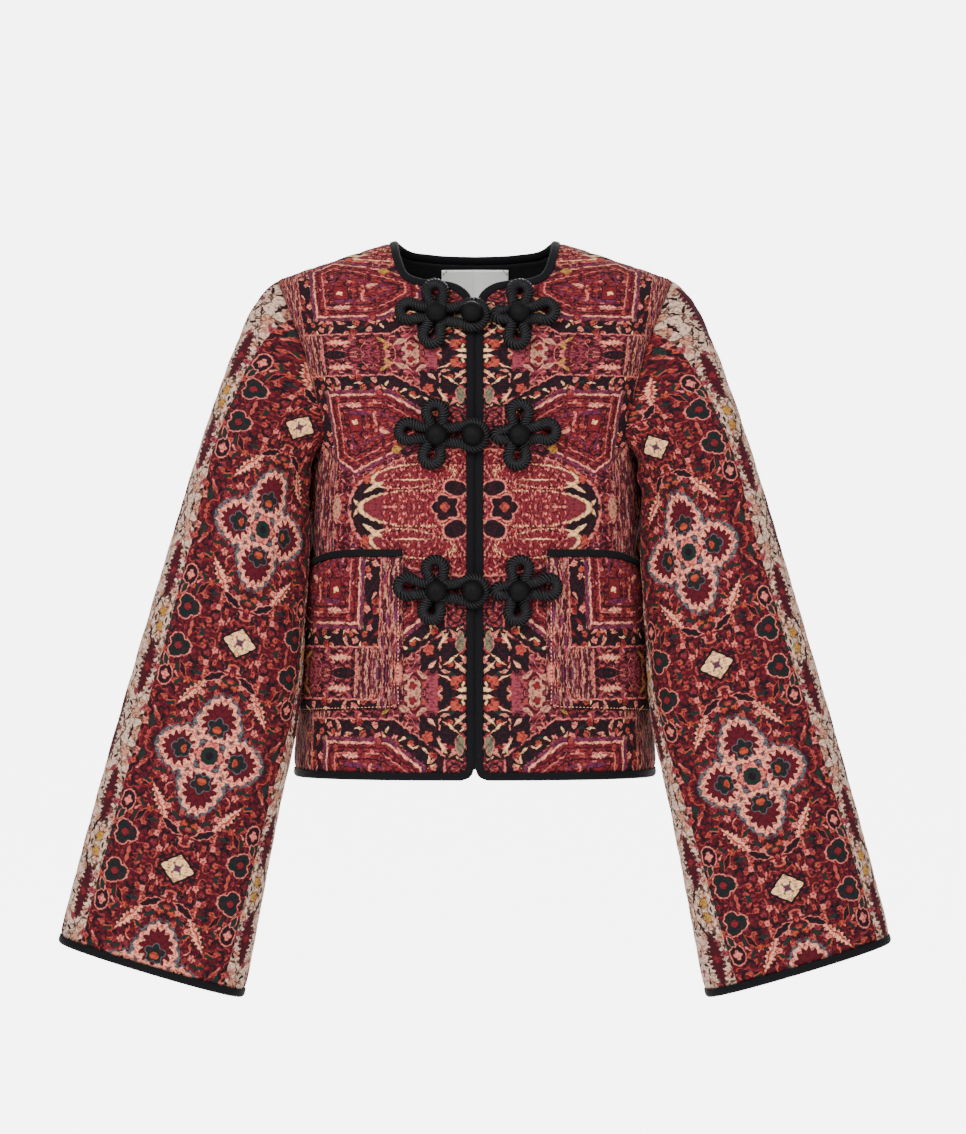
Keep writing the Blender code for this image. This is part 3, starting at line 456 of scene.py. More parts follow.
CENTRE_MOTIFS = (
    ("black", "block", 38, 124, 8, 13, 0),
    ("coral", "flower", 39, 120, 5, 5, 0, "black", 0.8),
    ("pale_pink", "leaf", 36, 132, 5, 1.4, 50),
    ("sage", "leaf", 12, 113, 9, 3.6, 90, "pink", 0.8),
    ("cream", "leaf", 27, 112, 8, 0.9, 60),
    ("cream", "leaf", 24, 143, 7, 0.8, -25),
    ("cream", "leaf", 20, 128, 8, 0.9, 35),
    ("cream", "leaf", 13, 133, 7, 0.9, -40),
    ("coral", "star", 16, 146, 5, 5, 20),
    ("cream", "leaf", 10, 153, 6, 1.4, 0),
)
SIDE_STREAKS = (
    (0, 1, 0.15, 4, 0.50, "maroon"),
    (90, 1, 0.15, 3, 0.57, "black"),
    (190, 1, 0.15, 3, 0.60, "plum"),
    (290, 1, 0.10, 1.6, 0.62, "pink"),
    (390, 1, 0.20, 2.4, 0.60, "beige"),
)
# Edges of a bracket: parts of x and y, and shift; lines beside them: distance, half width, ink
BRACKET_SIDE = 132.0
BRACKET_EDGES = (
    (1, 0, -132),
    (0, 1, -114),
    (-0.576, 0.818, -50.6),
    (-0.447, -0.894, 82.2),
    (0.545, -0.838, -30.9),
    (-1, 0, 45),
)
BRACKET_LINES = (
    (0, 0.9, "pale_pink"),
    (3.2, 1, "plum"),
    (-4, 0.7, "maroon"),
    (-9, 0.5, "pink"),
    (-14, 0.7, "black"),
    (-20, 0.8, "plum"),
)
LINE_SHIFT = 500.0
LINE_GAP_SIZE = 9.0
LINE_GAP_LEVEL = 0.38
STRIP_MIDDLE = 12.0
STRIP_HALF = 7.0
STRIP_LOWEST = 60.0
STRIP_EDGE = (20, 0.6, "pink")
STRIP_STREWN = (
    ("flower", 1200, 9, 3, 3, ("coral", "pink"), 0.6),
    ("leaf", 1500, 8, 4.4, 0.9, ("cream", "pink"), 0.5),
    ("leaf", 1800, 10, 3.6, 1.4, ("leaf_green", "red"), 0.5),
)
BRACKET_GROUND = (
    (0, 1, 1.2, 6, 0.50, "red"),
    (90, 0.8, 1.4, 3.5, 0.60, "coral"),
    (190, 0.8, 1.4, 3, 0.56, "maroon"),
)
BRACKET_STREWN = (
    ("flower", 2100, 9, 2.2, 2.2, ("pink", "coral"), 0.5),
    ("leaf", 2400, 8, 4, 1, ("maroon", "black"), 0.7),
)
BRACKET_HEART = (
    ("plum", "block", 104, 96, 9, 1.4, 0),
    ("red", "block", 107, 85, 6, 8, 0, "black", 1),
    ("cream", "star", 108, 86, 2.8, 2.8, 20),
    ("pale_pink", "fern", 107, 103, 8, 2.6, 0, "rose", 0.8),
    ("pink", "leaf", 88, 88, 8, 1.2, 80),
    ("pale_pink", "leaf", 80, 76, 5, 2, 20),
    ("ochre", "star", 70, 58, 4.5, 4.5, 0, "black", 0.6),
    ("black", "leaf", 62, 54, 7, 2.5, 30),
)
MEDALLION_HALVES = (117, 58)
MEDALLION_BLACK = 82.0
MEDALLION_LINE = 0.8
MEDALLION_RIM = 6.0
MEDALLION_STREAKS = (
    (0, 1.6, 0.6, 3, 0.50, "red"),
    (90, 1.2, 0.7, 3, 0.60, "pink"),
    (190, 1.2, 0.7, 2.6, 0.60, "maroon"),
)
MEDALLION_LOBES = (
    ("brick", "oval", 56, 31, 36, 11, -6, "cream", 1.3),
    ("brick", "oval", 48, 0, 54, 15.5, 0, "cream", 1.4),
)
MEDALLION = (
    ("pink", "leaf", 78, 0, 10, 1.2, 0),
    ("cream", "leaf", 56, 27, 16, 0.8, 0),
    ("cream", "leaf", 92, 20, 12, 2.2, -28),
    ("coral", "star", 99, 28, 5, 5, 15),
    ("coral", "star", 88, 38, 4, 4, 30),
    ("cream", "leaf", 109, 4, 5, 1.6, 60),
    ("black", "oval", 17, 19, 10, 7.4, 20, "pink", 1.3),
    ("black", "flower", 26, 0, 12.5, 12.5, 0, "pink", 1.4),
    ("coral", "star", 26, 0, 4.6, 4.6, 0),
    ("beige", "leaf", 132, 0, 14, 5, 90, "pink", 0.8),
)

# Cloth finishes
SHEEN_ROUGHNESS = 0.5
CLOTH_SPECULAR = 0.04
VELVET_ROUGHNESS = 0.95
VELVET_SHEEN = 0.02
NAP_SIZE = 1.6
NAP_DETAIL = 2.0
NAP_SOFTNESS = 0.5
NAP_SHADE = 0.25
NAP_STRENGTH = 0.3
NAP_HEIGHT = 0.0006
WEAVE_STRENGTH = 0.3
WEAVE_HEIGHT = 0.0002
GRAIN_THREADS = 3
GRAIN_DETAIL = 2.0
KNOB_SPECULAR = 0.08
ROPE_ROUGHNESS = 0.38
ROPE_SPECULAR = 0.07
ROPE_STRENGTH = 0.4
# Painted highlight along the outward crest of each rope strand: how near the crest it starts, and its
# softness
ROPE_HIGHLIGHT_LEVEL = 0.92
ROPE_HIGHLIGHT_SOFTNESS = 0.14
ROPE_FIBRE_LENGTH = 2.4
ROPE_FIBRE_WIDTH = 1.6
PAPER_ROUGHNESS = 1.0
THREAD_ROUGHNESS = 0.6
THREAD_SHEEN = 0.02
THREADS = {"thread": "thread", "pocket_thread": "pale_pink"}
# Plain cloths: ink, roughness, sheen, width of a thread, ink of the raised threads, specular level
PLAIN_CLOTHS = {
    "backing": ("backing", 0.9, 0.03, 0.8, "black", CLOTH_SPECULAR),
    "binding_tape": ("binding", 0.75, 0.02, 0.7, "binding_light", CLOTH_SPECULAR),
    "facing_cloth": ("binding", 0.7, 0.03, 0.6, "binding_light", CLOTH_SPECULAR),
    "label_tape": ("label", 0.7, 0.1, 0.9, "label_shade", CLOTH_SPECULAR),
    "knob_cloth": ("rope", 0.5, 0.0, 0.8, "rope_light", KNOB_SPECULAR),
}

# Camera and studio
CAMERA_PLACE = (0.0074, -4.5, -0.300)
CAMERA_LENS = 155.3
FLOOR_Z = -3.0
STUDIO_REACH = 9.0
WALL_TOP = 6.0
FLOOR_GLOW = 0.4
WALL_GLOW = 5.0
WORLD_STRENGTH = 0.75
LAMP_TARGET = (0.0, 0.0, -0.35)
# Lamps: name, place, size, power
LAMPS = (
    ("key", (-1.6, -3.0, 1.6), 1.6, 172.0),
    ("fill", (2.2, -2.8, 0.6), 2.0, 68.0),
    ("back", (0.8, 3.4, 1.8), 2.0, 60.0),
)


# Curves and vectors

def unit(vectors):
    """Vectors scaled to length one, along the last axis."""
    return vectors / np.maximum(np.linalg.norm(vectors, axis=-1, keepdims=True), SMALLEST_LENGTH)


def bell(values):
    """Bell curve, 1 at zero."""
    return np.exp(-(values**2))


def full_turn(count):
    """Angles of a full turn cut into equal parts."""
    return np.arange(count) * 2 * math.pi / count


def heading(degrees):
    """Flat direction at an angle from the first axis."""
    angle = math.radians(degrees)
    return np.array((math.cos(angle), math.sin(angle)))


def closed_path(points):
    """A path with its first point once more at its end."""
    return np.concatenate((points, points[:1]))


def steps_round(points, axis=0):
    """Step from the point before to the point after each point of a closed path."""
    return np.roll(points, -1, axis=axis) - np.roll(points, 1, axis=axis)


def lengths_along(points):
    """Length of a path from its start to each of its points."""
    return np.concatenate(([0.0], np.cumsum(np.linalg.norm(np.diff(points, axis=0), axis=1))))


def lengths_over(grid, axis):
    """Length from the first row or column of a grid to each of its points."""
    steps = np.linalg.norm(np.diff(grid, axis=axis), axis=-1)
    start = np.zeros_like(np.take(steps, [0], axis=axis))
    return np.concatenate((start, np.cumsum(steps, axis=axis)), axis=axis)


def smooth_path(rows, count):
    """Evenly spaced points on a smooth curve through the rows."""
    rows = np.array(rows, dtype=float)
    knots = lengths_along(rows)
    slopes = np.gradient(rows, knots, axis=0)
    places = np.linspace(0.0, knots[-1], count)
    index = np.clip(np.searchsorted(knots, places) - 1, 0, len(rows) - 2)
    span = np.diff(knots)[index][:, None]
    part = (places - knots[index])[:, None] / span
    keep = 2 * part**3 - 3 * part**2 + 1
    leave = part**3 - 2 * part**2 + part
    arrive = part**3 - part**2
    start = keep * rows[index] + leave * span * slopes[index]
    return start + (1 - keep) * rows[index + 1] + arrive * span * slopes[index + 1]


def sample(path, positions):
    """Points of a path at fractional indices."""
    indices = np.arange(len(path))
    return np.stack([np.interp(positions, indices, path[:, k]) for k in range(path.shape[1])], axis=1)


def stations(points, segments, lead=None):
    """Fractional indices that cut a path into equal lengths, after a first one of a given length."""
    lengths = lengths_along(points)
    if lead is None:
        cuts = np.linspace(0.0, lengths[-1], segments + 1)
    else:
        cuts = np.concatenate(([0.0], np.linspace(lead, lengths[-1], segments)))
    return np.interp(cuts, lengths, np.arange(len(points)))


def grid_between(bottom, top, start, end):
    """Grid of points between four edges: rows from bottom to top, columns from start to end."""
    across = np.linspace(0.0, 1.0, len(bottom))[None, :, None]
    up = np.linspace(0.0, 1.0, len(start))[:, None, None]
    ruled = (1 - up) * bottom[None] + up * top[None] + (1 - across) * start[:, None] + across * end[:, None]
    low = (1 - across) * bottom[0] + across * bottom[-1]
    high = (1 - across) * top[0] + across * top[-1]
    return ruled - (1 - up) * low - up * high


def mirrored(points):
    """The same points on the other side of the body."""
    return np.asarray(points) * np.array((-1.0, 1.0, 1.0))


SIDES = (("left", np.asarray), ("right", mirrored))


# Outer surface of the torso

def half_width(up):
    """Half width of the level section at a height from -1 at the hem over 0 at the chest to 1."""
    lower = CHEST_HALF_WIDTH - up * (HEM_HALF_WIDTH - CHEST_HALF_WIDTH)
    rise = np.sin(np.clip(up, 0.0, 1.0) * math.pi / 2) ** WIDENING_START
    widening = 1 - (1 - rise) ** WIDENING_POWER
    return np.where(up <= 0.0, lower, CHEST_HALF_WIDTH + (SHOULDER_HALF_WIDTH - CHEST_HALF_WIDTH) * widening)


def shoulder_height(x):
    """Height of the shoulder seam above a point across the body."""
    return -SHOULDER_DROP * (np.abs(x) - NECK_HALF_WIDTH) / (SHOULDER_HALF_WIDTH - NECK_HALF_WIDTH)


def rounded_quarter(part, power):
    """Point on a rounded quarter turn: part 0 gives (0, 1) and part 1 gives (1, 0)."""
    angle = part * math.pi / 2
    sideways = np.sin(angle)
    forwards = np.maximum(0.0, np.cos(angle))
    reach = (np.abs(sideways) ** power + forwards**power) ** (-1 / power)
    return reach * sideways, reach * forwards


def quarter_part(sideways, power):
    """The part of a rounded quarter turn that reaches so far sideways."""
    sideways = np.clip(sideways, -1.0, 1.0)
    forwards = (1 - np.abs(sideways) ** power) ** (1 / power)
    return np.arctan2(sideways, forwards) * 2 / math.pi


def rounding(across):
    """How square the shoulders are turned above a place on the chest line."""
    return NECK_POWER + (SHOULDER_POWER - NECK_POWER) * across**2


class TorsoSide:
    """Front or back surface, placed by across (0 centre, 1 side seam) and up (-1 hem, 1 shoulder)."""

    def __init__(self, facing, depths):
        self.facing = facing
        self.hem_depth, self.chest_depth = depths

    def surface(self, places):
        """Points of the outer surface."""
        across, up = places[..., 0], places[..., 1]
        sideways, frontal = rounded_quarter(across, SECTION_POWER)
        x = half_width(up) * sideways
        rise, lean = rounded_quarter(np.clip(up, 0.0, 1.0), rounding(across))
        below = self.chest_depth - up * (self.hem_depth - self.chest_depth)
        depth = np.where(up <= 0.0, below, self.chest_depth * lean)
        straight = CHEST_Z + up * (CHEST_Z - HEM_Z)
        z = np.where(up <= 0.0, straight, CHEST_Z + (shoulder_height(x) - CHEST_Z) * rise)
        return np.stack((x, self.facing * depth * frontal, z), axis=-1)

    def points(self, places):
        """Surface points, parted at the seams."""
        points = self.surface(places)
        points[..., 1] = self.facing * np.maximum(self.facing * points[..., 1], SEAM_GAP / 2)
        return points

    def slopes(self, places):
        """How the surface points move with across, and how they move with up."""
        places = np.clip(places, -EDGE_LIMIT, EDGE_LIMIT)
        step_across = np.array((STEP, 0.0))
        step_up = np.array((0.0, STEP))
        along = self.surface(places + step_across) - self.surface(places - step_across)
        rise = self.surface(places + step_up) - self.surface(places - step_up)
        return along / (2 * STEP), rise / (2 * STEP)

    def normals(self, places):
        """Outward directions of the surface."""
        along, rise = self.slopes(places)
        return unit(np.cross(rise, along) * self.facing)

    def skin(self, places):
        """Surface points and their outward directions."""
        return self.points(places), self.normals(places)

    def locate(self, outline):
        """The across and up of the surface points that show at rows of x, z."""
        outline = np.asarray(outline, dtype=float)
        x, z = outline[..., 0], outline[..., 1]
        below = (z - CHEST_Z) / (CHEST_Z - HEM_Z)
        rise = np.clip((z - CHEST_Z) / (shoulder_height(x) - CHEST_Z), 0.0, 1.0)
        across = np.zeros_like(x)
        for _ in range(LOCATE_ROUNDS):
            up = np.where(z <= CHEST_Z, below, quarter_part(rise, rounding(across)))
            across = quarter_part(x / half_width(up), SECTION_POWER)
        return np.stack((across, up), axis=-1)

    def inset_places(self, places, inset):
        """A path of places moved over the surface into the cloth, with its ends kept on the seams."""
        tangents = unit(np.gradient(self.points(places), axis=0))
        inwards = np.cross(self.normals(places), tangents) * inset
        moved = places.copy()
        for place, step, along, rise in zip(moved, inwards, *self.slopes(places)):
            place += np.linalg.lstsq(np.stack((along, rise), axis=1), step, rcond=None)[0]
        moved[[0, -1], 1] = places[[0, -1], 1]
        return moved

    def even_grid(self, grid):
        """Move places along the rows and then along the columns, until they are spaced as on the edges."""
        return self.even_rows(self.even_rows(grid.swapaxes(0, 1)).swapaxes(0, 1))

    def even_rows(self, grid):
        """Move places along their columns until the rows are spaced as on the first and last."""
        shares = [lengths_along(column) for column in self.points(grid).swapaxes(0, 1)]
        shares = np.array([share / share[-1] for share in shares])
        evened = grid.copy()
        for column in range(1, grid.shape[1] - 1):
            part = column / (grid.shape[1] - 1)
            wanted = (1 - part) * shares[0] + part * shares[-1]
            positions = np.interp(wanted, shares[column], np.arange(grid.shape[0]))
            evened[:, column] = sample(grid[:, column], positions)
        return evened

    def flat(self, places):
        """Coordinates on the flat cloth: around from the centre line and up from the chest line."""
        fine = np.linspace(0.0, 1.0, PATH_POINTS)
        around = lengths_along(self.surface(np.stack((fine, np.zeros_like(fine)), axis=1)))
        across, up = places[..., 0], places[..., 1]
        u = np.sign(across) * np.interp(np.abs(across), fine, around)
        parts = np.linspace(0.0, 1.0, FLAT_STEPS + 1)
        steps = np.stack([self.surface(np.stack((across, up * part), axis=-1)) for part in parts])
        v = np.sign(up) * np.linalg.norm(np.diff(steps, axis=0), axis=-1).sum(axis=0)
        return np.stack((u, v), axis=-1)


FRONT = TorsoSide(-1.0, FRONT_DEPTHS)
BACK = TorsoSide(1.0, BACK_DEPTHS)


def body_reach(y, z):
    """How far the torso reaches sideways at depths and heights."""
    up = np.minimum(0.0, (z - CHEST_Z) / (CHEST_Z - HEM_Z))
    hem = np.where(y < 0, FRONT.hem_depth, BACK.hem_depth)
    chest = np.where(y < 0, FRONT.chest_depth, BACK.chest_depth)
    inside = np.maximum(0.0, 1 - (np.abs(y) / (chest - up * (hem - chest))) ** SECTION_POWER)
    return half_width(up) * inside ** (1 / SECTION_POWER)


# Finished edges of the torso

def inset_outline(outline, inset):
    """An outline moved into the cloth, which lies to the left of its direction."""
    tangents = unit(np.gradient(outline, axis=0))
    return outline + inset * np.stack((-tangents[:, 1], tangents[:, 0]), axis=1)


def front_edge(inset):
    """Neck, centre and hem stretches of a front's edge, as places, at a distance into the cloth."""
    neck = smooth_path(FRONT_NECKLINE, PATH_POINTS)
    corner = int(np.argmax(neck[:, 0] < NECK_CORNER_X))
    neck = inset_outline(neck, inset)
    turn = math.pi + np.linspace(0.0, math.pi / 2, CORNER_POINTS)
    middle = CORNER_POINTS // 2
    pivot = np.array((FRONT_MEETING_GAP / 2 + HEM_CORNER_RADIUS, HEM_Z + HEM_CORNER_RADIUS))
    arc = pivot + (HEM_CORNER_RADIUS - inset) * np.stack((np.cos(turn), np.sin(turn)), axis=1)
    straight_z = np.linspace(neck[-1, 1], arc[0, 1], PATH_POINTS)[1:-1]
    straight = np.stack((np.full_like(straight_z, FRONT_MEETING_GAP / 2 + inset), straight_z), axis=1)
    centre_places = FRONT.locate(np.concatenate((neck[corner:], straight, arc[: middle + 1])))
    corner_places = FRONT.locate(arc[middle:])
    hem_across = np.linspace(corner_places[-1, 0], 1.0, PATH_POINTS)[1:]
    hem = np.stack((hem_across, np.full_like(hem_across, corner_places[-1, 1])), axis=1)
    return FRONT.locate(neck[: corner + 1]), centre_places, np.concatenate((corner_places, hem))


def front_edge_places(inset):
    """Neck, centre and hem places at the mesh's stations, each from the neck to the side seam."""
    neck, centre, hem = (FRONT.points(path) for path in front_edge(BINDING_WIDTH))
    from_hem = len(centre) - 1 - stations(centre[::-1], CENTRE_ROWS, CORNER_LEAD)[::-1]
    cuts = stations(neck, NECK_ROWS), from_hem, stations(hem, COLUMNS, CORNER_LEAD)
    return [sample(path, cut) for path, cut in zip(front_edge(inset), cuts)]


def whole_front_edge(inset):
    """The same places as one path from the neck over the centre to the side seam."""
    neck, centre, hem = front_edge_places(inset)
    return np.concatenate((neck[:-1], centre[:-1], hem))


def back_neck_places(inset):
    """Places along the back neckline at a distance into the cloth, from right to left."""
    half = smooth_path(BACK_NECKLINE, PATH_POINTS)
    edge = BACK.locate(np.concatenate((half * np.array((-1.0, 1.0)), half[-2::-1])))
    cuts = stations(BACK.points(BACK.inset_places(edge, BINDING_WIDTH)), 2 * NECK_ROWS)
    return sample(BACK.inset_places(edge, inset), cuts)


def back_hem_places(inset):
    """Places along the back hem, from right to left."""
    up = BACK.locate((0.0, HEM_Z + inset))[1]
    path = np.stack((np.linspace(-1.0, 1.0, 2 * PATH_POINTS), np.full(2 * PATH_POINTS, up)), axis=1)
    return sample(path, stations(BACK.points(path), 2 * COLUMNS))


def side_edge_places(side, outline):
    """Places from the bottom of the side seam over the underarm to the shoulder tip."""
    low = side.locate((0.0, HEM_Z + BINDING_WIDTH + SEAM_GAP))[1]
    seam = np.stack((np.ones(LOWER_ROWS), np.linspace(low, 0.0, LOWER_ROWS + 1)[:-1]), axis=1)
    rows = np.concatenate(([(1.0, 0.0)], side.locate(outline), [(1.0, 1.0)]))
    path = np.clip(smooth_path(rows, PATH_POINTS), -1.0, 1.0)
    return np.concatenate((seam, sample(path, stations(side.surface(path), UPPER_ROWS))))


def shoulder_places(side, start):
    """Places on the shoulder seam from the end of the neckline to the tip."""
    x = np.linspace(side.surface(start)[0], SHOULDER_HALF_WIDTH, COLUMNS + 1)
    places = side.locate(np.stack((x, shoulder_height(x)), axis=1))
    places[0] = start
    return places


def front_places():
    """Grid of places on a front, rows from the hem up, columns from the centre to the side."""
    neck, centre, hem = front_edge_places(BINDING_WIDTH + SEAM_GAP)
    opening = np.concatenate((centre[::-1], neck[-2::-1]))
    side = side_edge_places(FRONT, FRONT_ARMHOLE)
    return FRONT.even_grid(grid_between(hem, shoulder_places(FRONT, neck[0]), opening, side))


def back_places():
    """Grid of places on the left half of the back, rows from the hem up, columns from the centre."""
    neck = back_neck_places(BINDING_WIDTH + SEAM_GAP)[NECK_ROWS:]
    hem = back_hem_places(BINDING_WIDTH + SEAM_GAP)[COLUMNS:]
    centre = np.linspace(hem[0], neck[0], PATH_POINTS)
    centre = sample(centre, stations(BACK.points(centre), CENTRE_ROWS))
    opening = np.concatenate((centre, neck[1:]))
    side = side_edge_places(BACK, BACK_ARMHOLE)
    return BACK.even_grid(grid_between(hem, shoulder_places(BACK, neck[-1]), opening, side))


class Sleeve:
    """Left sleeve as rings from the armhole to the cuff, first point at the top, then over the front."""

    def __init__(self, armhole):
        self.count = len(armhole)
        self.outer = smooth_path(SLEEVE_OUTER, PATH_POINTS)
        self.inner = smooth_path(SLEEVE_INNER, PATH_POINTS)
        self.length = lengths_along(self.outer)[-1]
        self.cap_shift = armhole - self.oval(0.0)

    def oval(self, along):
        """Plain ring at a part of the length."""
        last = PATH_POINTS - 1
        outer = sample(self.outer, [along * last])[0]
        inner = sample(self.inner, [along**SLEEVE_INNER_DELAY * last])[0]
        parts, depths, leans = np.array(SLEEVE_DEPTHS).T
        middle = (outer + inner) / 2
        reach = (outer - inner) / 2
        angles = full_turn(self.count)
        size = np.abs(np.cos(angles)) ** SLEEVE_POWER + np.abs(np.sin(angles)) ** SLEEVE_POWER
        size = size ** (-1 / SLEEVE_POWER)
        sideways = size * np.cos(angles)
        y = np.interp(along, parts, leans) - np.interp(along, parts, depths) * size * np.sin(angles)
        return np.stack((middle[0] + reach[0] * sideways, y, middle[1] + reach[1] * sideways), axis=1)

    def ring(self, along):
        """Ring that starts on the armhole and keeps clear of the torso."""
        blend = max(0.0, 1 - along / CAP_BLEND) ** 2
        ring = self.oval(along) + blend * self.cap_shift
        if along > 0.0:
            clearance = BODY_CLEARANCE * min(1.0, along / CLEARANCE_START)
            held_off = np.maximum(ring[:, 0], body_reach(ring[:, 1], ring[:, 2]) + clearance)
            ring[:, 0] = np.where(ring[:, 2] < CHEST_Z, held_off, ring[:, 0])
        return ring

    def rings(self, parts):
        """Rings at several parts of the length, with the folds pressed in, and their normals."""
        grid = np.array([self.ring(along) for along in parts])
        normals = self.normals(grid)
        turn = np.arange(self.count) * FULL_TURN / self.count
        for start, end, angle, width, depth in SLEEVE_FOLDS:
            part = np.clip((np.array(parts) - start) / (end - start), 0.0, 1.0)
            strength = np.sin(part * math.pi) ** 2
            nearness = bell((turn - angle) / width)
            grid = grid - normals * (strength[:, None] * nearness[None, :] * depth)[:, :, None]
        return grid, self.normals(grid)

    def normals(self, grid):
        """Outward directions of a grid of rings."""
        return unit(np.cross(steps_round(grid, axis=1), np.gradient(grid, axis=0)))

    def flat(self, grid):
        """Coordinates on the flat cloth: around from the middle of the front, and up from the cuff."""
        around = lengths_over(grid, 1)
        down = lengths_over(grid, 0)
        front_middle = 3 * self.count // 4
        u = around - around[:, front_middle][:, None]
        return np.stack((u, down[-1:] - down), axis=-1)


# Relief of the quilted cloth

def edge_distance(points, closed=False, joined_rows=0):
    """Distance of each grid point from the nearest sewn edge, along its row or its column."""
    down = lengths_over(points, 0)
    distance = np.minimum(down, down[-1:] - down)
    if closed:
        return distance
    over = lengths_over(points, 1)
    from_start = over.copy()
    below = down[joined_rows, 0] - down[:joined_rows, :1]
    from_start[:joined_rows] = np.hypot(over[:joined_rows], below)
    return np.minimum.reduce((distance, from_start, over[:, -1:] - over))


def quilting(flat):
    """Height of the quilting above its stitched lines."""
    across = flat[..., 0] * math.cos(QUILT_ANGLE)
    along = flat[..., 1] * math.sin(QUILT_ANGLE)
    turns = np.stack((across + along, across - along)) / QUILT_SPACING
    distance = np.abs(turns - np.round(turns)).min(axis=0) * QUILT_SPACING
    return QUILT_RISE * (1 - np.exp(-distance / QUILT_SOFTNESS))


def folds(flat, rows, seed):
    """Soft uneven troughs with a low ridge beside each, along lines on the flat cloth."""
    waves = np.sin(flat * 2 * math.pi / np.array(PLAY_LENGTHS) + seed)
    play = 1 + FOLD_PLAY * waves[..., 0] * waves[..., 1]
    height = np.zeros(flat.shape[:-1])
    for start_u, start_v, end_u, end_v, width, depth in rows:
        start = np.array((start_u, start_v))
        span = np.array((end_u, end_v)) - start
        offset = flat - start
        part = np.clip(offset @ span / (span @ span), 0.0, 1.0)
        aside = (offset[..., 0] * span[1] - offset[..., 1] * span[0]) / np.linalg.norm(span)
        aside = aside / width + FOLD_WANDER * np.sin(part * 2 * math.pi + seed)
        trough = bell(aside) - FOLD_RIDGE * bell(aside - RIDGE_PLACE)
        height -= depth * np.sin(part * math.pi) * trough * play
    return height


def pressed(edges, width):
    """How free the cloth is to rise, from 0 at a sewn edge to 1 well inside."""
    return 1 - bell(edges / width)


def quilted(points, normals, flat, edges, creases, seed, cut=None, free=1.0):
    """Outer and inner grid of a quilted panel with its creases, drawn in along its sewn edges.

    The quilting follows the flat coordinates, or those of the cut where they differ.
    """
    low = folds(flat, creases, seed) * pressed(edges, FOLD_FADE)
    rise = quilting(flat if cut is None else cut) * pressed(edges, EDGE_FADE) * free
    high = low + rise - SEAM_DIP * bell(edges / SEAM_DIP_WIDTH)
    return points + normals * high[..., None], points + normals * (low - WALL)[..., None]


# Meshes

def wall(outer, inner, flat, closed=False, joined_rows=0):
    """Vertices, faces, flat coordinates and material numbers of a thin wall between two grids.

    A closed wall repeats its first column as its last. The first rows may stay open on the first
    column, where a mirrored half joins on.
    """
    rows, columns = flat.shape[:2]
    ring = columns - 1 if closed else columns
    index = np.arange(rows)[:, None] * ring + np.arange(columns)[None, :] % ring
    inside = rows * ring

    def cells(grid):
        """The four corners of each cell of a grid."""
        return np.stack((grid[:-1, :-1], grid[:-1, 1:], grid[1:, 1:], grid[1:, :-1]), axis=2)

    faces = [cells(index).reshape(-1, 4)]
    places = [cells(flat).reshape(-1, 4, 2)]
    faces.append(faces[0][:, ::-1] + inside)
    places.append(places[0][:, ::-1])
    rims = [(index[0, ::-1], flat[0, ::-1]), (index[-1], flat[-1])]
    if not closed:
        rims.append((index[joined_rows:, 0], flat[joined_rows:, 0]))
        rims.append((index[::-1, -1], flat[::-1, -1]))
    for line, place in rims:
        faces.append(np.stack((line[:-1], line[1:], line[1:] + inside, line[:-1] + inside), axis=1))
        places.append(np.stack((place[:-1], place[1:], place[1:], place[:-1]), axis=1))
    vertices = np.concatenate((outer[:, :ring].reshape(-1, 3), inner[:, :ring].reshape(-1, 3)))
    corners = vertices[faces[0]]
    turned = np.cross(corners[:, 1] - corners[:, 0], corners[:, 3] - corners[:, 0])
    outwards = corners[:, 0] - vertices[faces[0][:, 0] + inside]
    numbers = np.concatenate([np.full(len(part), min(1, k)) for k, part in enumerate(faces)])
    faces, places = np.concatenate(faces), np.concatenate(places)
    if np.sum(turned * outwards) < 0:
        faces, places = faces[:, ::-1], places[:, ::-1]
    return vertices, faces, places, numbers


def bar(sections, closed):
    """The same for a bar through a row of like sections, its flat coordinates along and around it."""
    count, corners = sections.shape[:2]
    along = lengths_along(closed_path(sections).mean(axis=1))
    around = lengths_along(closed_path(sections[0]))
    rows = count if closed else count - 1
    row, corner = np.meshgrid(np.arange(rows), np.arange(corners), indexing="ij")
    row, corner = row.ravel(), corner.ravel()
    steps = ((0, 0), (0, 1), (1, 1), (1, 0))
    faces = [(row + down) % count * corners + (corner + turn) % corners for down, turn in steps]
    places = [np.stack((along[row + down], around[corner + turn]), axis=1) for down, turn in steps]
    vertices = sections.reshape(-1, 3)
    faces, places = np.stack(faces, axis=1), np.stack(places, axis=1)
    if not closed:
        first = np.arange(corners // 2 - 1)
        ladder = np.stack((first + 1, first, corners - 1 - first, corners - 2 - first), axis=1)
        for cap, place in ((ladder, along[0]), (ladder[:, ::-1] + rows * corners, along[-2])):
            faces = np.concatenate((faces, cap))
            ends = np.stack((np.full(cap.shape, place), around[cap % corners]), axis=2)
            places = np.concatenate((places, ends))
    cells = vertices[faces] - vertices.mean(axis=0)
    first_half = np.sum(cells[:, 0] * np.cross(cells[:, 1], cells[:, 2]))
    if first_half + np.sum(cells[:, 0] * np.cross(cells[:, 2], cells[:, 3])) < 0:
        faces, places = faces[:, ::-1], places[:, ::-1]
    return vertices, faces, places, np.zeros(len(faces), dtype=int)


def join(*parts):
    """One mesh of several."""
    starts = np.cumsum([0] + [len(part[0]) for part in parts[:-1]])
    faces = np.concatenate([part[1] + start for part, start in zip(parts, starts)])
    vertices, places, numbers = (np.concatenate([part[k] for part in parts]) for k in (0, 2, 3))
    return vertices, faces, places, numbers


def add_object(name, data):
    """A new object of the scene."""
    thing = bpy.data.objects.new(name, data)
    bpy.context.scene.collection.objects.link(thing)
    return thing


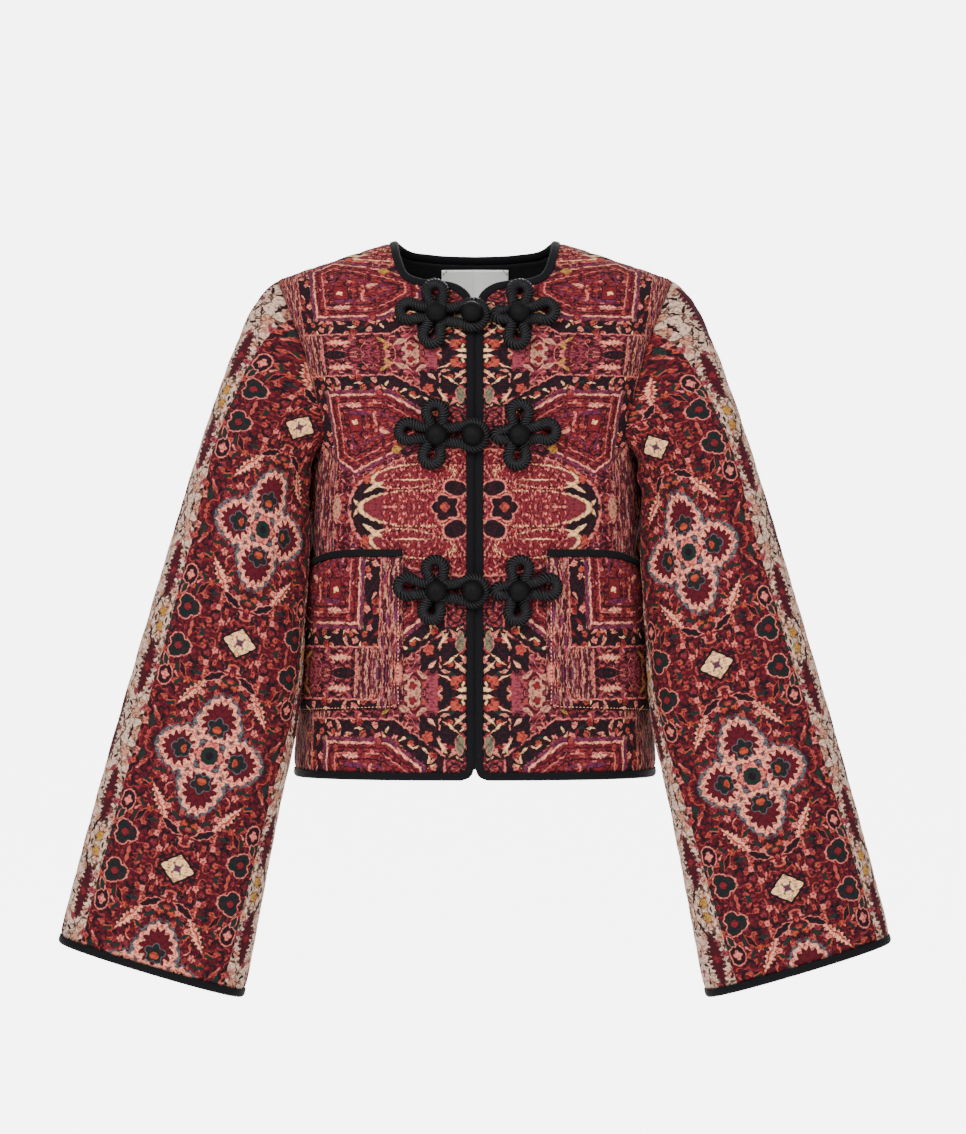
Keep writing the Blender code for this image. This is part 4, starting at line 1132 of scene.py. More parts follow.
def add_piece(name, mesh_parts, materials, nodes=()):
    """A mesh object that rides on the jacket and stands for CAD nodes."""
    vertices, faces, places, numbers = mesh_parts
    mesh = bpy.data.meshes.new(name)
    mesh.from_pydata(vertices.tolist(), [], faces.tolist())
    mesh.uv_layers.new(name=FLAT_LAYER).data.foreach_set("uv", places.ravel())
    mesh.polygons.foreach_set("material_index", numbers)
    for material in materials:
        mesh.materials.append(material)
    shape = bmesh.new()
    shape.from_mesh(mesh)
    bmesh.ops.remove_doubles(shape, verts=shape.verts, dist=WELD_DISTANCE)
    shape.to_mesh(mesh)
    shape.free()
    mesh.shade_smooth()
    piece = add_object(name, mesh)
    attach(piece, "root")
    if nodes:
        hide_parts(*nodes)
    return piece


def surface_area(grid):
    """Area of a grid of points."""
    across = np.diff(grid, axis=1)[:-1]
    up = np.diff(grid, axis=0)[:, :-1]
    return float(np.linalg.norm(np.cross(across, up), axis=-1).sum())


def state_cut(grid, flat, layers=1):
    """Width and area of a sheet's flat cut from its grid of points and flat coordinates, worked out and not
    kept.
    """
    spans = flat.reshape(-1, 2).max(axis=0) - flat.reshape(-1, 2).min(axis=0)
    width = spans[0] * layers
    area = min(surface_area(grid) * layers, width * spans[1])


# Velvet panels and sleeves

def add_velvet(name, mesh_parts, materials, grid, flat, layers=1):
    """A velvet piece in place of the node of that name."""
    piece = add_piece(f"velvet_{name}", mesh_parts, materials, (name,))
    state_cut(grid, flat, layers)


def sleeve_cut(flat, name):
    """Where the print lies on a sleeve: drawn together outside the cap, and moved on the left one."""
    cut = flat.copy()
    cap = np.clip((flat[..., 1] - CAP_START) / CAP_LENGTH, 0.0, 1.0)
    cut[..., 0] -= CAP_NARROWING * cap * np.minimum(flat[..., 0], 0.0)
    if name == "left":
        cut += np.array(LEFT_SLEEVE_SHIFT)
        cut[..., 0] += flat[..., 1] * LEFT_SLEEVE_SLANT
    return cut


def cloth(velvet, sleeve_velvet, backing):
    """Both fronts, the back and both sleeves."""
    front, back = front_places(), back_places()
    front_points, front_normals = FRONT.skin(front)
    back_points, back_normals = BACK.skin(back)
    front_armhole = (slice(None, LOWER_ROWS - 1, -1), -1)
    back_armhole = (slice(LOWER_ROWS + 1, -1), -1)
    armhole = np.concatenate((front_points[front_armhole], back_points[back_armhole]))
    panel_normals = np.concatenate((front_normals[front_armhole], back_normals[back_armhole]))
    armhole[[0, UPPER_ROWS], 1] = 0.0
    sleeve = Sleeve(armhole)
    wall_end = 1 - (BINDING_WIDTH + SEAM_GAP) / sleeve.length
    points, normals = sleeve.rings(np.linspace(0.0, wall_end, SLEEVE_ROWS + 1))

    seam_normals = panel_normals + normals[0]
    around = steps_round(armhole)
    for top_or_underarm in (0, UPPER_ROWS):
        seam_normals[top_or_underarm, 1] = 0.0
        around[top_or_underarm, (0, 2)] = 0.0
    seam_normals = unit(seam_normals)
    to_sleeve = unit(np.cross(seam_normals, around)) * SEAM_GAP / 2
    points[0] += to_sleeve
    normals[0] = seam_normals
    front_points[front_armhole] -= to_sleeve[: UPPER_ROWS + 1]
    front_normals[front_armhole] = seam_normals[: UPPER_ROWS + 1]
    back_edge = np.append(np.arange(UPPER_ROWS, 2 * UPPER_ROWS), 0)
    back_points[LOWER_ROWS:, -1] -= to_sleeve[back_edge]
    back_normals[LOWER_ROWS:, -1] = seam_normals[back_edge]

    underarm = sleeve.count // 2
    from_underarm = np.append(np.roll(np.arange(sleeve.count), -underarm), underarm)
    points, normals = points[:, from_underarm], normals[:, from_underarm]
    flat, edges = sleeve.flat(points), edge_distance(points, closed=True)
    front_flat, front_edges = FRONT.flat(front), edge_distance(front_points)
    free = 1 - under_pocket(front_points)
    for seed, (name, turn) in enumerate(SIDES, start=1):
        grids = quilted(front_points, front_normals, front_flat, front_edges, FRONT_FOLDS, seed, free=free)
        mesh_parts = wall(*map(turn, grids), front_flat)
        add_velvet(f"front_{name}", mesh_parts, (velvet, backing), front_points, front_flat)
        cut = sleeve_cut(flat, name)
        grids = quilted(points, normals, flat, edges, SLEEVE_CREASES, seed, cut)
        mesh_parts = wall(*map(turn, grids), cut, closed=True)
        add_velvet(f"sleeve_{name}", mesh_parts, (sleeve_velvet, backing), points, flat)

    back_flat, back_edges = BACK.flat(back), edge_distance(back_points, joined_rows=CENTRE_ROWS)
    grids = quilted(back_points, back_normals, back_flat, back_edges, BACK_FOLDS, BACK_SEED)
    halves = [wall(*map(turn, grids), back_flat, joined_rows=CENTRE_ROWS) for _, turn in SIDES]
    add_velvet("back", join(*halves), (velvet, backing), back_points, back_flat, layers=2)
    return sleeve


def under_pocket(points):
    """Where a pocket presses the front flat, from 0 to 1."""
    x, z = points[..., 0], points[..., 2]
    top = np.interp(x, *smooth_path(POCKET_TOP, PATH_POINTS).T)
    clear = np.minimum.reduce((x - POCKET_INNER_X, top - z, z - POCKET_BOTTOM_Z + POCKET_BOTTOM_DROP))
    return np.clip(clear / POCKET_PRESS + 1.0, 0.0, 1.0)


# Bindings

def tape(sewn, edge, outline, lift=0.0, cloth_wall=WALL):
    """Sections of a tape folded over an edge, from the sewn line outside round to the one inside.

    The sewn line and the edge are each given by their points and normals.
    """
    half = cloth_wall / 2 + BINDING_PROUD
    middle = lift - cloth_wall / 2
    lines = []
    for thickness in (0.0, TAPE_WALL):
        reach = 1 - thickness / BINDING_WIDTH
        profile = [(part * reach, height * (half - thickness)) for part, height in outline]
        profile += [(part, -height) for part, height in profile[-2::-1]]
        lines.append(profile[::-1] if thickness else profile)
    sections = []
    for part, height in lines[0] + lines[1]:
        points, normals = ((1 - part) * first + part * last for first, last in zip(sewn, edge))
        sections.append(points + unit(normals) * (middle + height))
    return np.stack(sections, axis=1)


def edge_tape(side, path):
    """Sections of the tape along an edge of the torso, from a function that gives its places."""
    inner, outer = path(BINDING_WIDTH), path(0.0)
    cuts = stations(side.points(inner), len(inner) * TAPE_FINENESS)
    return tape(side.skin(sample(inner, cuts)), side.skin(sample(outer, cuts)), LAPPED_PROFILE)


def add_binding(name, sections, closed, material):
    """A binding piece, made as a folded strip of tape."""
    mesh_parts = bar(sections, closed)
    piece = add_piece(f"tape_{name}", mesh_parts, (material,), (f"binding_{name}",))


def bindings(sleeve, material):
    """Black bindings of the fronts, back neck, back hem and cuffs."""
    front = edge_tape(FRONT, whole_front_edge)
    cuff_part = 1 - BINDING_WIDTH / sleeve.length
    rings, normals = sleeve.rings((2 * cuff_part - 1, cuff_part, 1.0))
    cuff = tape((rings[1], normals[1]), (rings[2], normals[2]), LAPPED_PROFILE)
    for name, turn in SIDES:
        add_binding(f"front_{name}", turn(front), False, material)
        add_binding(f"cuff_{name}", turn(cuff), True, material)
    add_binding("back_neck", edge_tape(BACK, back_neck_places), False, material)
    add_binding("back_hem", edge_tape(BACK, back_hem_places), False, material)


# Pockets, facing and label

def pocket_places(top_inset):
    """Grid of places on a pocket, rows from its bottom to a line below its finished top."""
    part = np.linspace(0.0, 1.0, POCKET_COLUMNS + 1)[None, :]
    height = np.linspace(0.0, 1.0, POCKET_ROWS + 1)[:, None]
    low = FRONT.locate((0.0, POCKET_BOTTOM_Z))[1]
    outer_x = FRONT.surface(np.array((POCKET_OUTER_ACROSS, low)))[0]
    x = POCKET_INNER_X + (outer_x - POCKET_INNER_X) * part
    top = np.interp(x, *smooth_path(POCKET_TOP, PATH_POINTS).T) - top_inset
    short = np.clip(POCKET_CORNER - (x - POCKET_INNER_X), 0.0, POCKET_CORNER)
    bottom = POCKET_BOTTOM_Z - POCKET_BOTTOM_DROP * part
    bottom = bottom + POCKET_CORNER - np.sqrt(POCKET_CORNER**2 - short**2)
    z = bottom + (top - bottom) * height
    inner = FRONT.locate(np.stack((np.full_like(z, POCKET_INNER_X), z), axis=-1))
    across = inner[..., 0] + (POCKET_OUTER_ACROSS - inner[..., 0]) * part
    return np.stack((across, inner[..., 1]), axis=-1)


def pocket_grids():
    """Points, normals and flat coordinates of a pocket, and distances from its three sewn edges."""
    places = pocket_places(BINDING_WIDTH + SEAM_GAP)
    points, normals = FRONT.skin(places)
    over, up = lengths_over(points, 1), lengths_over(points, 0)
    edges = np.minimum.reduce((over, over[:, -1:] - over, up))
    return points, normals, FRONT.flat(places), edges


def pockets(velvet, backing, binding, thread):
    """Patch pockets with a bound top edge and a row of stitches round the rest."""
    points, normals, flat, edges = pocket_grids()
    flat = np.stack((POCKET_PRINT_TURN - flat[..., 0], flat[..., 1] - POCKET_PRINT_RISE), axis=-1)
    base = POCKET_SEWN_LIFT + (POCKET_LIFT - POCKET_SEWN_LIFT) * pressed(edges, POCKET_BEND)
    free = pressed(edge_distance(points), EDGE_FADE)
    height = base + POCKET_WALL + POCKET_QUILT * quilting(flat) * free
    height -= STITCH_SINK * bell((edges - edges[1, POCKET_COLUMNS // 2]) / STITCH_GROOVE)
    height -= np.where(edges > 0.0, 0.0, POCKET_ROLL)
    outer, inner = points + normals * height[..., None], points + normals * base[..., None]
    sewn, edge = (FRONT.skin(pocket_places(inset)[-1]) for inset in (BINDING_WIDTH, 0.0))
    bound = tape(sewn, edge, TAPE_PROFILE, POCKET_LIFT + POCKET_WALL + BINDING_PROUD, POCKET_WALL)
    sewn_rows = [np.concatenate((grid[:0:-1, 1], grid[1, 2:-1], grid[2:, -2])) for grid in (outer, normals)]
    lines = stitches(*sewn_rows)
    for name, turn in SIDES:
        sewing = join(*(bar(turn(stitch), False) for stitch in lines))
        rows = add_piece(f"stitches_pocket_{name}", sewing, (thread,))
        mesh_parts = wall(turn(outer), turn(inner), flat)
        add_velvet(f"pocket_{name}", mesh_parts, (velvet, backing), points, flat)
        add_binding(f"pocket_{name}", turn(bound), False, binding)


def round_sections(middle, radius, first, second, sides):
    """Round sections of a thread, one about each point of its middle line."""
    turns = full_turn(sides)
    ring = [middle + radius * (math.cos(turn) * first + math.sin(turn) * second) for turn in turns]
    return np.stack(ring, axis=1)


def stitches(path, normals):
    """Short threads along a path, each as a row of round sections."""
    lengths = lengths_along(path)
    starts = np.arange(STITCH_GAP, lengths[-1] - STITCH_LENGTH, STITCH_LENGTH + STITCH_GAP)
    threads = []
    for start in starts:
        places = np.linspace(start, start + STITCH_LENGTH, len(STITCH_ARCH))
        cuts = np.interp(places, lengths, np.arange(len(path)))
        middle, normal = sample(path, cuts), unit(sample(normals, cuts))
        along = unit(np.gradient(middle, axis=0))
        aside = np.cross(along, normal)
        arch = np.array(STITCH_ARCH)[:, None]
        middle = middle + normal * (arch - 1) * STITCH_SINK
        threads.append(round_sections(middle, STITCH_RADIUS * np.sqrt(arch), normal, aside, STITCH_SIDES))
    return threads


def neck_facing(facing_cloth, label_cloth, thread):
    """Black facing and bare label inside the back neck."""
    insets = np.linspace(BINDING_WIDTH + SEAM_GAP, FACING_DEPTH, FACING_ROWS + 1)
    places = np.array([back_neck_places(inset) for inset in insets])
    (points, normals), flat = BACK.skin(places), BACK.flat(places)
    outer = points - normals * (WALL + FACING_LIFT)
    mesh_parts = wall(outer, outer - normals * FACING_WALL, flat)
    materials = (facing_cloth, facing_cloth)
    piece = add_piece("facing_neck", mesh_parts, materials, ("neck_facing",))
    state_cut(outer, flat)

    across = np.linspace(-0.5, 0.5, LABEL_COLUMNS + 1) * LABEL_WIDTH
    x, row = np.meshgrid(across, np.linspace(0.0, 1.0, LABEL_ROWS + 1))
    z = BACK_NECKLINE[-1][1] - LABEL_TOP - LABEL_HEIGHT * row
    points, normals = BACK.skin(BACK.locate(np.stack((x, z), axis=-1)))
    outer = points - normals * (WALL + FACING_LIFT + FACING_WALL + LABEL_LIFT)
    flat = np.stack((lengths_over(outer, 1), lengths_over(outer, 0)), axis=-1)
    inner = outer - normals * LABEL_WALL
    corners = []
    for column, towards in ((0, 1), (LABEL_COLUMNS, -1)):
        start, end = inner[LABEL_STITCH_CELLS, column], inner[0, column + towards * LABEL_STITCH_CELLS]
        path = np.linspace(start, end, len(STITCH_ARCH)) - normals[0, column] * STITCH_RADIUS
        corners += stitches(path, -np.broadcast_to(normals[0, column], path.shape))
    mesh_parts = join(*(bar(stitch, False) for stitch in corners))
    sewing = add_piece("stitches_label", mesh_parts, (thread,))
    mesh_parts = wall(outer, inner, flat)
    piece = add_piece("tape_label", mesh_parts, (label_cloth, label_cloth), ("label",))
    state_cut(outer, flat)


# Frog fastenings

def clover_path(petals):
    """Closed path of a rope that runs out and back along each loop in turn, in the flat."""
    points = []
    for index, (direction, distance, radius) in enumerate(petals):
        middle = heading(direction) * distance
        for sweep in np.linspace(-PETAL_SWEEP, PETAL_SWEEP, PETAL_POINTS):
            points.append(middle + radius * heading(direction + sweep))
        following = petals[(index + 1) % len(petals)][0]
        if following < direction:
            following += FULL_TURN
        points.append(CORD_TURN * heading((direction + following) / 2))
    return np.array(points)


def rounded_loop(points, step, softness):
    """A closed path cut into even steps, with its corners rounded."""
    closed = closed_path(points)
    count = int(lengths_along(closed)[-1] / step)
    even = sample(closed, stations(closed, count))[:-1]
    reach = int(CORD_SOFT_REACH * softness / step)
    offsets = np.arange(-reach, reach + 1)
    weights = bell(offsets * step / softness)
    rolled = [weight * np.roll(even, offset, axis=0) for weight, offset in zip(weights, offsets)]
    return np.sum(rolled, axis=0) / weights.sum()


def cord_height(x, z):
    """Height of the middle of a rope above the fronts, where it also passes over a pocket."""
    climb = np.clip((np.abs(x) - POCKET_INNER_X + CORD_CLIMB) / CORD_CLIMB, 0.0, 1.0)
    beside = (z > POCKET_BOTTOM_Z) & (z < POCKET_TOP[0][1])
    return CORD_LIFT + CORD_RADIUS + CORD_POCKET_LIFT * np.where(beside, climb, 0.0)


def add_cord(name, petals, x, z, material):
    """Rope half of a frog: strands twisted round a closed path on the fronts."""
    outline = rounded_loop(clover_path(petals) + np.array((x, z)), STRAND_STEP, CORD_SOFTNESS)
    places = FRONT.locate(outline)
    normals = FRONT.normals(places)
    path = FRONT.surface(places) + normals * cord_height(outline[:, 0], outline[:, 1])[:, None]
    along = unit(steps_round(path))
    aside = unit(np.cross(along, normals))
    out = np.cross(aside, along)
    length = lengths_along(closed_path(path))[-1]
    twist = np.arange(len(path)) / len(path) * round(length / STRAND_PITCH) * 2 * math.pi
    strands = []
    for strand in range(STRANDS):
        phase = (twist + strand * 2 * math.pi / STRANDS)[:, None]
        radial = np.cos(phase) * out + np.sin(phase) * aside
        middle = path + radial * STRAND_OFFSET
        sideways = np.cross(unit(steps_round(middle)), radial)
        sections = round_sections(middle, STRAND_RADIUS, radial, sideways, STRAND_SIDES)
        strands.append(bar(sections, True))
    add_piece(f"rope_{name}", join(*strands), (material,), (name,))


def add_knob(name, x, z, material):
    """Cloth-covered knob: a flattened ball with its cloth drawn together underneath."""
    places = FRONT.locate(np.array((x, z)))
    up = FRONT.normals(places)
    foot = FRONT.surface(places) + up * (CORD_LIFT + 2 * CORD_RADIUS + SEAM_GAP)
    right = unit(np.cross((0.0, 0.0, 1.0), up))
    ahead = np.cross(up, right)
    turns = full_turn(KNOB_SEGMENTS)
    sections = []
    for tilt in np.linspace(KNOB_TUCK, math.pi / 2 - KNOB_CROWN, KNOB_RINGS):
        gather = 1 + KNOB_GATHER * np.cos(turns * KNOB_PLEATS) * max(0.0, 1 - (tilt - KNOB_TUCK))
        radius = (KNOB_RADIUS * math.cos(tilt) * gather)[:, None]
        level = foot + up * (KNOB_RADIUS * KNOB_FLATTENING * math.sin(tilt) + KNOB_RISE)
        sections.append(level + radius * (np.cos(turns)[:, None] * right + np.sin(turns)[:, None] * ahead))
    crown = foot + up * (KNOB_RADIUS * KNOB_FLATTENING + KNOB_RISE)
    sections.append(np.broadcast_to(crown, sections[0].shape))
    add_piece(f"ball_{name}", bar(np.array(sections), False), (material,), (name,))


def frogs(rope, knob_cloth):
    """Three frogs, each with a loop half, a knob half and three knobs."""
    for name, z in zip(FROG_NAMES, FROG_HEIGHTS):
        loop_x = FROG_CENTRE_X + LOOP_HALF_X
        knob_x = FROG_CENTRE_X + KNOB_HALF_X
        add_cord(f"frog_{name}_loop_cord", LOOP_HALF, loop_x, z, rope)
        add_cord(f"frog_{name}_knob_cord", KNOB_HALF, knob_x, z, rope)
        for place, x in (("right", loop_x), ("centre", FROG_CENTRE_X), ("left", knob_x)):
            add_knob(f"frog_{name}_knob_{place}", x, z, knob_cloth)


# Shader numbers and colours

def opaque(name):
    """An ink with full alpha."""
    return (*INKS[name], 1.0)


class Number:
    """A number that varies over a surface, worked out by shader nodes."""

    def __init__(self, tree, socket):
        self.tree = tree
        self.socket = socket

    def of(self, operation, *others, clamp=False):
        """The result of a math node on this number and others."""
        return math_node(self.tree, operation, (self, *others), clamp)

    def __add__(self, other):
        return self.of("ADD", other)

    def __sub__(self, other):
        return self.of("SUBTRACT", other)

    def __rsub__(self, other):
        return math_node(self.tree, "SUBTRACT", (other, self))

    def __mul__(self, other):
        return self.of("MULTIPLY", other)

    def __abs__(self):
        return self.of("ABSOLUTE")

    def scaled(self, factor, shift):
        """This number times a factor, plus a shift."""
        return self.of("MULTIPLY_ADD", factor, shift)

    def share(self):
        """A wave between -1 and 1 as a part from 0 to 1."""
        return self.scaled(0.5, 0.5)

    def least(self, other):
        """The smaller of two numbers."""
        return self.of("MINIMUM", other)

    def most(self, other):
        """The larger of two numbers."""
        return self.of("MAXIMUM", other)

    def inside(self, soft=EDGE_SOFTNESS):
        """1 where the number is below zero, 0 where it is above, with a soft edge."""
        return self.of("MULTIPLY_ADD", -1 / soft, 0.5, clamp=True)


def put(tree, socket, value):
    """Feed a socket from a number or a constant."""
    if isinstance(value, Number):
        tree.links.new(value.socket, socket)
    else:
        socket.default_value = value


def math_node(tree, operation, values, clamp=False):
    """The result of a math node."""
    node = tree.nodes.new("ShaderNodeMath")
    node.operation = operation
    node.use_clamp = clamp
    for socket, value in zip(node.inputs, values):
        put(tree, socket, value)
    return Number(tree, node.outputs[0])


class Print:
    """A printed pattern in millimetres of the flat cloth, painted layer over layer."""

    def __init__(self, tree, ground):
        self.tree = tree
        self.colour = opaque(ground)
        flat = tree.nodes.new("ShaderNodeUVMap")
        flat.uv_map = FLAT_LAYER
        parts = tree.nodes.new("ShaderNodeSeparateXYZ")
        tree.links.new(flat.outputs["UV"], parts.inputs[0])
        self.u = Number(tree, parts.outputs["X"]) * MILLIMETRES
        self.v = Number(tree, parts.outputs["Y"]) * MILLIMETRES

    def vector(self, x, y):
        """Two numbers as a vector socket."""
        node = self.tree.nodes.new("ShaderNodeCombineXYZ")
        put(self.tree, node.inputs[0], x)
        put(self.tree, node.inputs[1], y)
        return node.outputs[0]

    def length(self, x, y):
        """Length of a vector."""
        node = self.tree.nodes.new("ShaderNodeVectorMath")
        node.operation = "LENGTH"
        self.tree.links.new(self.vector(x, y), node.inputs[0])
        return Number(self.tree, node.outputs["Value"])

    def noise(self, x, y, size, detail=1.0):
        """Smooth random number around a half, and the socket of a random colour."""
        node = self.tree.nodes.new("ShaderNodeTexNoise")
        node.noise_dimensions = "2D"
        set_inputs(node, {"Scale": 1 / size, "Detail": detail})
        self.tree.links.new(self.vector(x, y), node.inputs["Vector"])
        return Number(self.tree, node.outputs["Fac"]), node.outputs["Color"]

    def channels(self, socket):
        """The three parts of a vector or colour."""
        node = self.tree.nodes.new("ShaderNodeSeparateXYZ")
        self.tree.links.new(socket, node.inputs[0])
        return [Number(self.tree, output) for output in node.outputs]

    def warped(self, x, y):
        """Coordinates that wander like hand-drawn lines."""
        red, green, _ = self.channels(self.noise(x, y, WANDER_SIZE)[1])
        return x + (red - NOISE_MIDDLE) * WANDER_REACH, y + (green - NOISE_MIDDLE) * WANDER_REACH

    def paint(self, mask, colour):
        """Lay an ink over the pattern where the mask is 1."""
        node = self.tree.nodes.new("ShaderNodeMix")
        node.data_type = "RGBA"
        put(self.tree, node.inputs["Factor"], mask)
        before, after = (socket for socket in node.inputs if socket.type == "RGBA")
        if isinstance(self.colour, bpy.types.NodeSocket):
            self.tree.links.new(self.colour, before)
        else:
            before.default_value = self.colour
        after.default_value = opaque(colour)
        self.colour = next(socket for socket in node.outputs if socket.type == "RGBA")

    def shape(self, kind, x, y, half_x, half_y):
        """How far outside a shape around the origin a point lies."""
        small = min(half_x, half_y)
        if kind == "oval":
            return self.length(x * (1 / half_x), y * (1 / half_y)).scaled(small, -small)
        if kind == "block":
            return (abs(x) - half_x).most(abs(y) - half_y)
        if kind == "lozenge":
            return (abs(x) * (1 / half_x) + abs(y) * (1 / half_y)).scaled(small, -small)
        if kind in PETAL_COUNTS:
            angle = y.of("ARCTAN2", x) * (PETAL_COUNTS[kind] / 2)
            petals = abs(angle.of("COSINE")).scaled(PETAL_DEPTH * half_x, (1 - PETAL_DEPTH) * half_x)
            return self.length(x, y) - petals
        bend = x * (1 / half_x)
        width = (1.0 - bend * bend) * half_y
        if kind == "fern":
            width = width * (x * (math.tau / FERN_TOOTH)).of("SINE").scaled(FERN_DEPTH, 1 - FERN_DEPTH)
        return abs(y) - width

    def motifs(self, x, y, rows):
        """Paint a table of motifs, each over its outline."""
        for ink, kind, place_x, place_y, half_x, half_y, turn, *outline in rows:
            cos, sin = heading(turn)
            dx, dy = x - place_x, y - place_y
            distance = self.shape(kind, dx * cos + dy * sin, dy * cos - dx * sin, half_x, half_y)
            if outline:
                outline_ink, width = outline
                self.paint((distance - width).inside(), outline_ink)
            self.paint(distance.inside(), ink)

    def patches(self, x, y, rows, where=1.0):
        """Paint a table of uneven patches: shift, stretches, size, level, ink."""
        for shift, across, up, size, level, colour in rows:
            value, _ = self.noise((x + shift) * across, y * up, size, PATCH_DETAIL)
            self.paint((level - value).inside(PATCH_SOFTNESS) * where, colour)

    def strewn(self, x, y, rows, where=1.0):
        """Paint a table of shapes strewn in any direction: kind, shift, spacing, half sizes, inks, share."""
        for kind, shift, spacing, half_x, half_y, inks, share in rows:
            node = self.tree.nodes.new("ShaderNodeTexVoronoi")
            node.voronoi_dimensions = "2D"
            set_inputs(node, {"Scale": 1 / spacing})
            self.tree.links.new(self.vector(x + shift, y), node.inputs["Vector"])
            middle_x, middle_y, _ = self.channels(node.outputs["Position"])
            turn, choice, chance = self.channels(node.outputs["Color"])
            dx, dy = x + shift - middle_x, y - middle_y
            cos, sin = (turn * math.tau).of("COSINE"), (turn * math.tau).of("SINE")
            distance = self.shape(kind, dx * cos + dy * sin, dy * cos - dx * sin, half_x, half_y)
            shown = (chance - share).inside(CHANCE_SOFTNESS) * where
            self.paint(distance.inside() * shown, inks[0])
            second = (choice - EVEN_CHANCE).inside(CHANCE_SOFTNESS)
            self.paint(distance.inside() * shown * second, inks[1])
            if kind in PETAL_COUNTS:
                self.paint((distance + half_x * FLOWER_HEART).inside() * shown, "maroon")

    def vines(self, x, y, row, where=1.0):
        """Paint thin winding lines: spacing, half width, ink."""
        spacing, half, colour = row
        value, _ = self.noise(x, y, spacing)
        self.paint((abs(value - NOISE_MIDDLE) - half / spacing).inside(VINE_SOFTNESS) * where, colour)

    def stitch_lines(self):
        """Paint dashed quilting stitches along both families of lines."""
        across, along = self.u * math.cos(QUILT_ANGLE), self.v * math.sin(QUILT_ANGLE)
        run, rise = self.u * math.sin(QUILT_ANGLE), self.v * math.cos(QUILT_ANGLE)
        half = QUILT_SPACING * MILLIMETRES / 2
        for line, length in ((across + along, rise - run), (across - along, rise + run)):
            distance = line.of("PINGPONG", half)
            dash = length.of("PINGPONG", STITCH_REPEAT) - STITCH_REPEAT * STITCH_SHARE
            self.paint((distance - STITCH_HALF_WIDTH).inside() * dash.inside(), "stitch")


def sleeve_print(tree):
    """Red field of flowers with quatrefoil rosettes and cream diamonds, between borders and ivory bands."""
    design = Print(tree, "red")
    u = design.u - design.v.scaled(SLEEVE_SLANT, SLEEVE_SHIFT)
    v = design.v - SLEEVE_START
    x, y = design.warped(u.of("PINGPONG", SLEEVE_HALF_REPEAT), v.of("PINGPONG", SLEEVE_HALF_REPEAT))
    design.patches(x, y, SLEEVE_GROUND)
    design.vines(x, y, SLEEVE_VINES)
    design.strewn(x, y, SLEEVE_STREWN)
    design.motifs(x, y, SLEEVE_FIELD)
    petals = []
    for lengthwise, place, half_long, half_wide in ROSETTE_PETALS:
        along, aside = (y, x) if lengthwise else (x, y)
        reach = (along - place) * (1 / half_long)
        taper = aside * (1 / half_wide) * reach.scaled(PETAL_TAPER, 1.0)
        teeth = (reach.of("ARCTAN2", taper) * PETAL_TEETH).of("SINE")
        petals.append((design.length(reach, taper).scaled(half_wide, -half_wide), teeth))
    for growth, tooth, colour, patch_colour in PETAL_LAYERS:
        for distance, teeth in petals:
            mask = (distance + teeth * tooth - growth).inside()
            design.paint(mask, colour)
            design.patches(x, y, ((*PETAL_PATCHES, patch_colour),), mask)
    design.motifs(y, x, ROSETTE_HEART)
    design.motifs(x, y, ROSETTE_HEART + ROSETTE_HUB + SLEEVE_DIAMOND)
    band = (SLEEVE_BAND - x).inside()
    design.paint(band, "ivory")
    design.vines(x, y, BAND_VINES, band)
    design.strewn(x, y, BAND_STREWN, band)
    design.motifs(x, y, BAND_MOTIFS + SLEEVE_BORDER)
    design.patches(x, y, WEAR, WEAR_STRENGTH)
    design.stitch_lines()
    return design


def body_print(tree):
    """Brick red ground with nested brackets, black flowered strips and a lobed medallion."""
    design = Print(tree, "brick")
    above = design.v - BODY_AXIS
    turns = above.most(0.0) * (1 / BODY_UP_REACH) + above.least(0.0) * (1 / BODY_DOWN_REACH)
    x, y = design.warped(abs(design.u), turns.of("PINGPONG", 1.0) * BODY_REACH)
    design.patches(x, y, BODY_GROUND)
    design.vines(x, y, BODY_VINES)
    design.strewn(x, y, BODY_STREWN)
    design.patches(x, y, SIDE_STREAKS, (BRACKET_SIDE - x).inside())
    design.motifs(x, y, BODY_FIELD)
    edge = None
    for along, up, shift in BRACKET_EDGES:
        plane = x.scaled(along, y.scaled(up, shift))
        edge = plane if edge is None else edge.most(plane)
    upper = (STRIP_LOWEST - y).inside()
    strip = (abs(edge - STRIP_MIDDLE) - STRIP_HALF).inside() * upper
    strip = strip.most((x - CENTRE_WIDTH).most(CENTRE_LOWEST - y).inside())
    design.paint(strip, "black")
    design.strewn(x, y, STRIP_STREWN, strip)
    design.motifs(x, y, CENTRE_MOTIFS)
    within = edge.inside()
    design.paint(within, "brick")
    design.patches(x, y, BRACKET_GROUND, within)
    design.strewn(x, y, BRACKET_STREWN, within)
    play, _ = design.noise(x + LINE_SHIFT, y, LINE_GAP_SIZE)
    drawn = (LINE_GAP_LEVEL - play).inside(PATCH_SOFTNESS)
    for distance, half, colour in BRACKET_LINES:
        design.paint((abs(edge - distance) - half).inside() * drawn, colour)
    distance, half, colour = STRIP_EDGE
    design.paint((abs(edge - distance) - half).inside() * upper * drawn, colour)
    design.motifs(x, y, BRACKET_HEART)
    medallion = design.shape("oval", x, y, *MEDALLION_HALVES)
    design.patches(x, y, MEDALLION_STREAKS, medallion.inside())
    design.paint(medallion.inside() * (MEDALLION_BLACK - x).inside(), "black")
    design.paint((abs(medallion) - MEDALLION_LINE).inside() * drawn, "pink")
    design.motifs(x, y, MEDALLION_LOBES)
    lobes = (medallion + MEDALLION_RIM).inside() * (x - MEDALLION_BLACK).inside()
    design.patches(x, y, MEDALLION_STREAKS, lobes)
    design.motifs(x, y, MEDALLION)
    design.patches(x, y, WEAR, WEAR_STRENGTH)
    design.stitch_lines()
    return design


# Materials

def set_inputs(node, values):
    """Set inputs of a shader node to constants, by their names."""
    for name, value in values.items():
        node.inputs[name].default_value = value


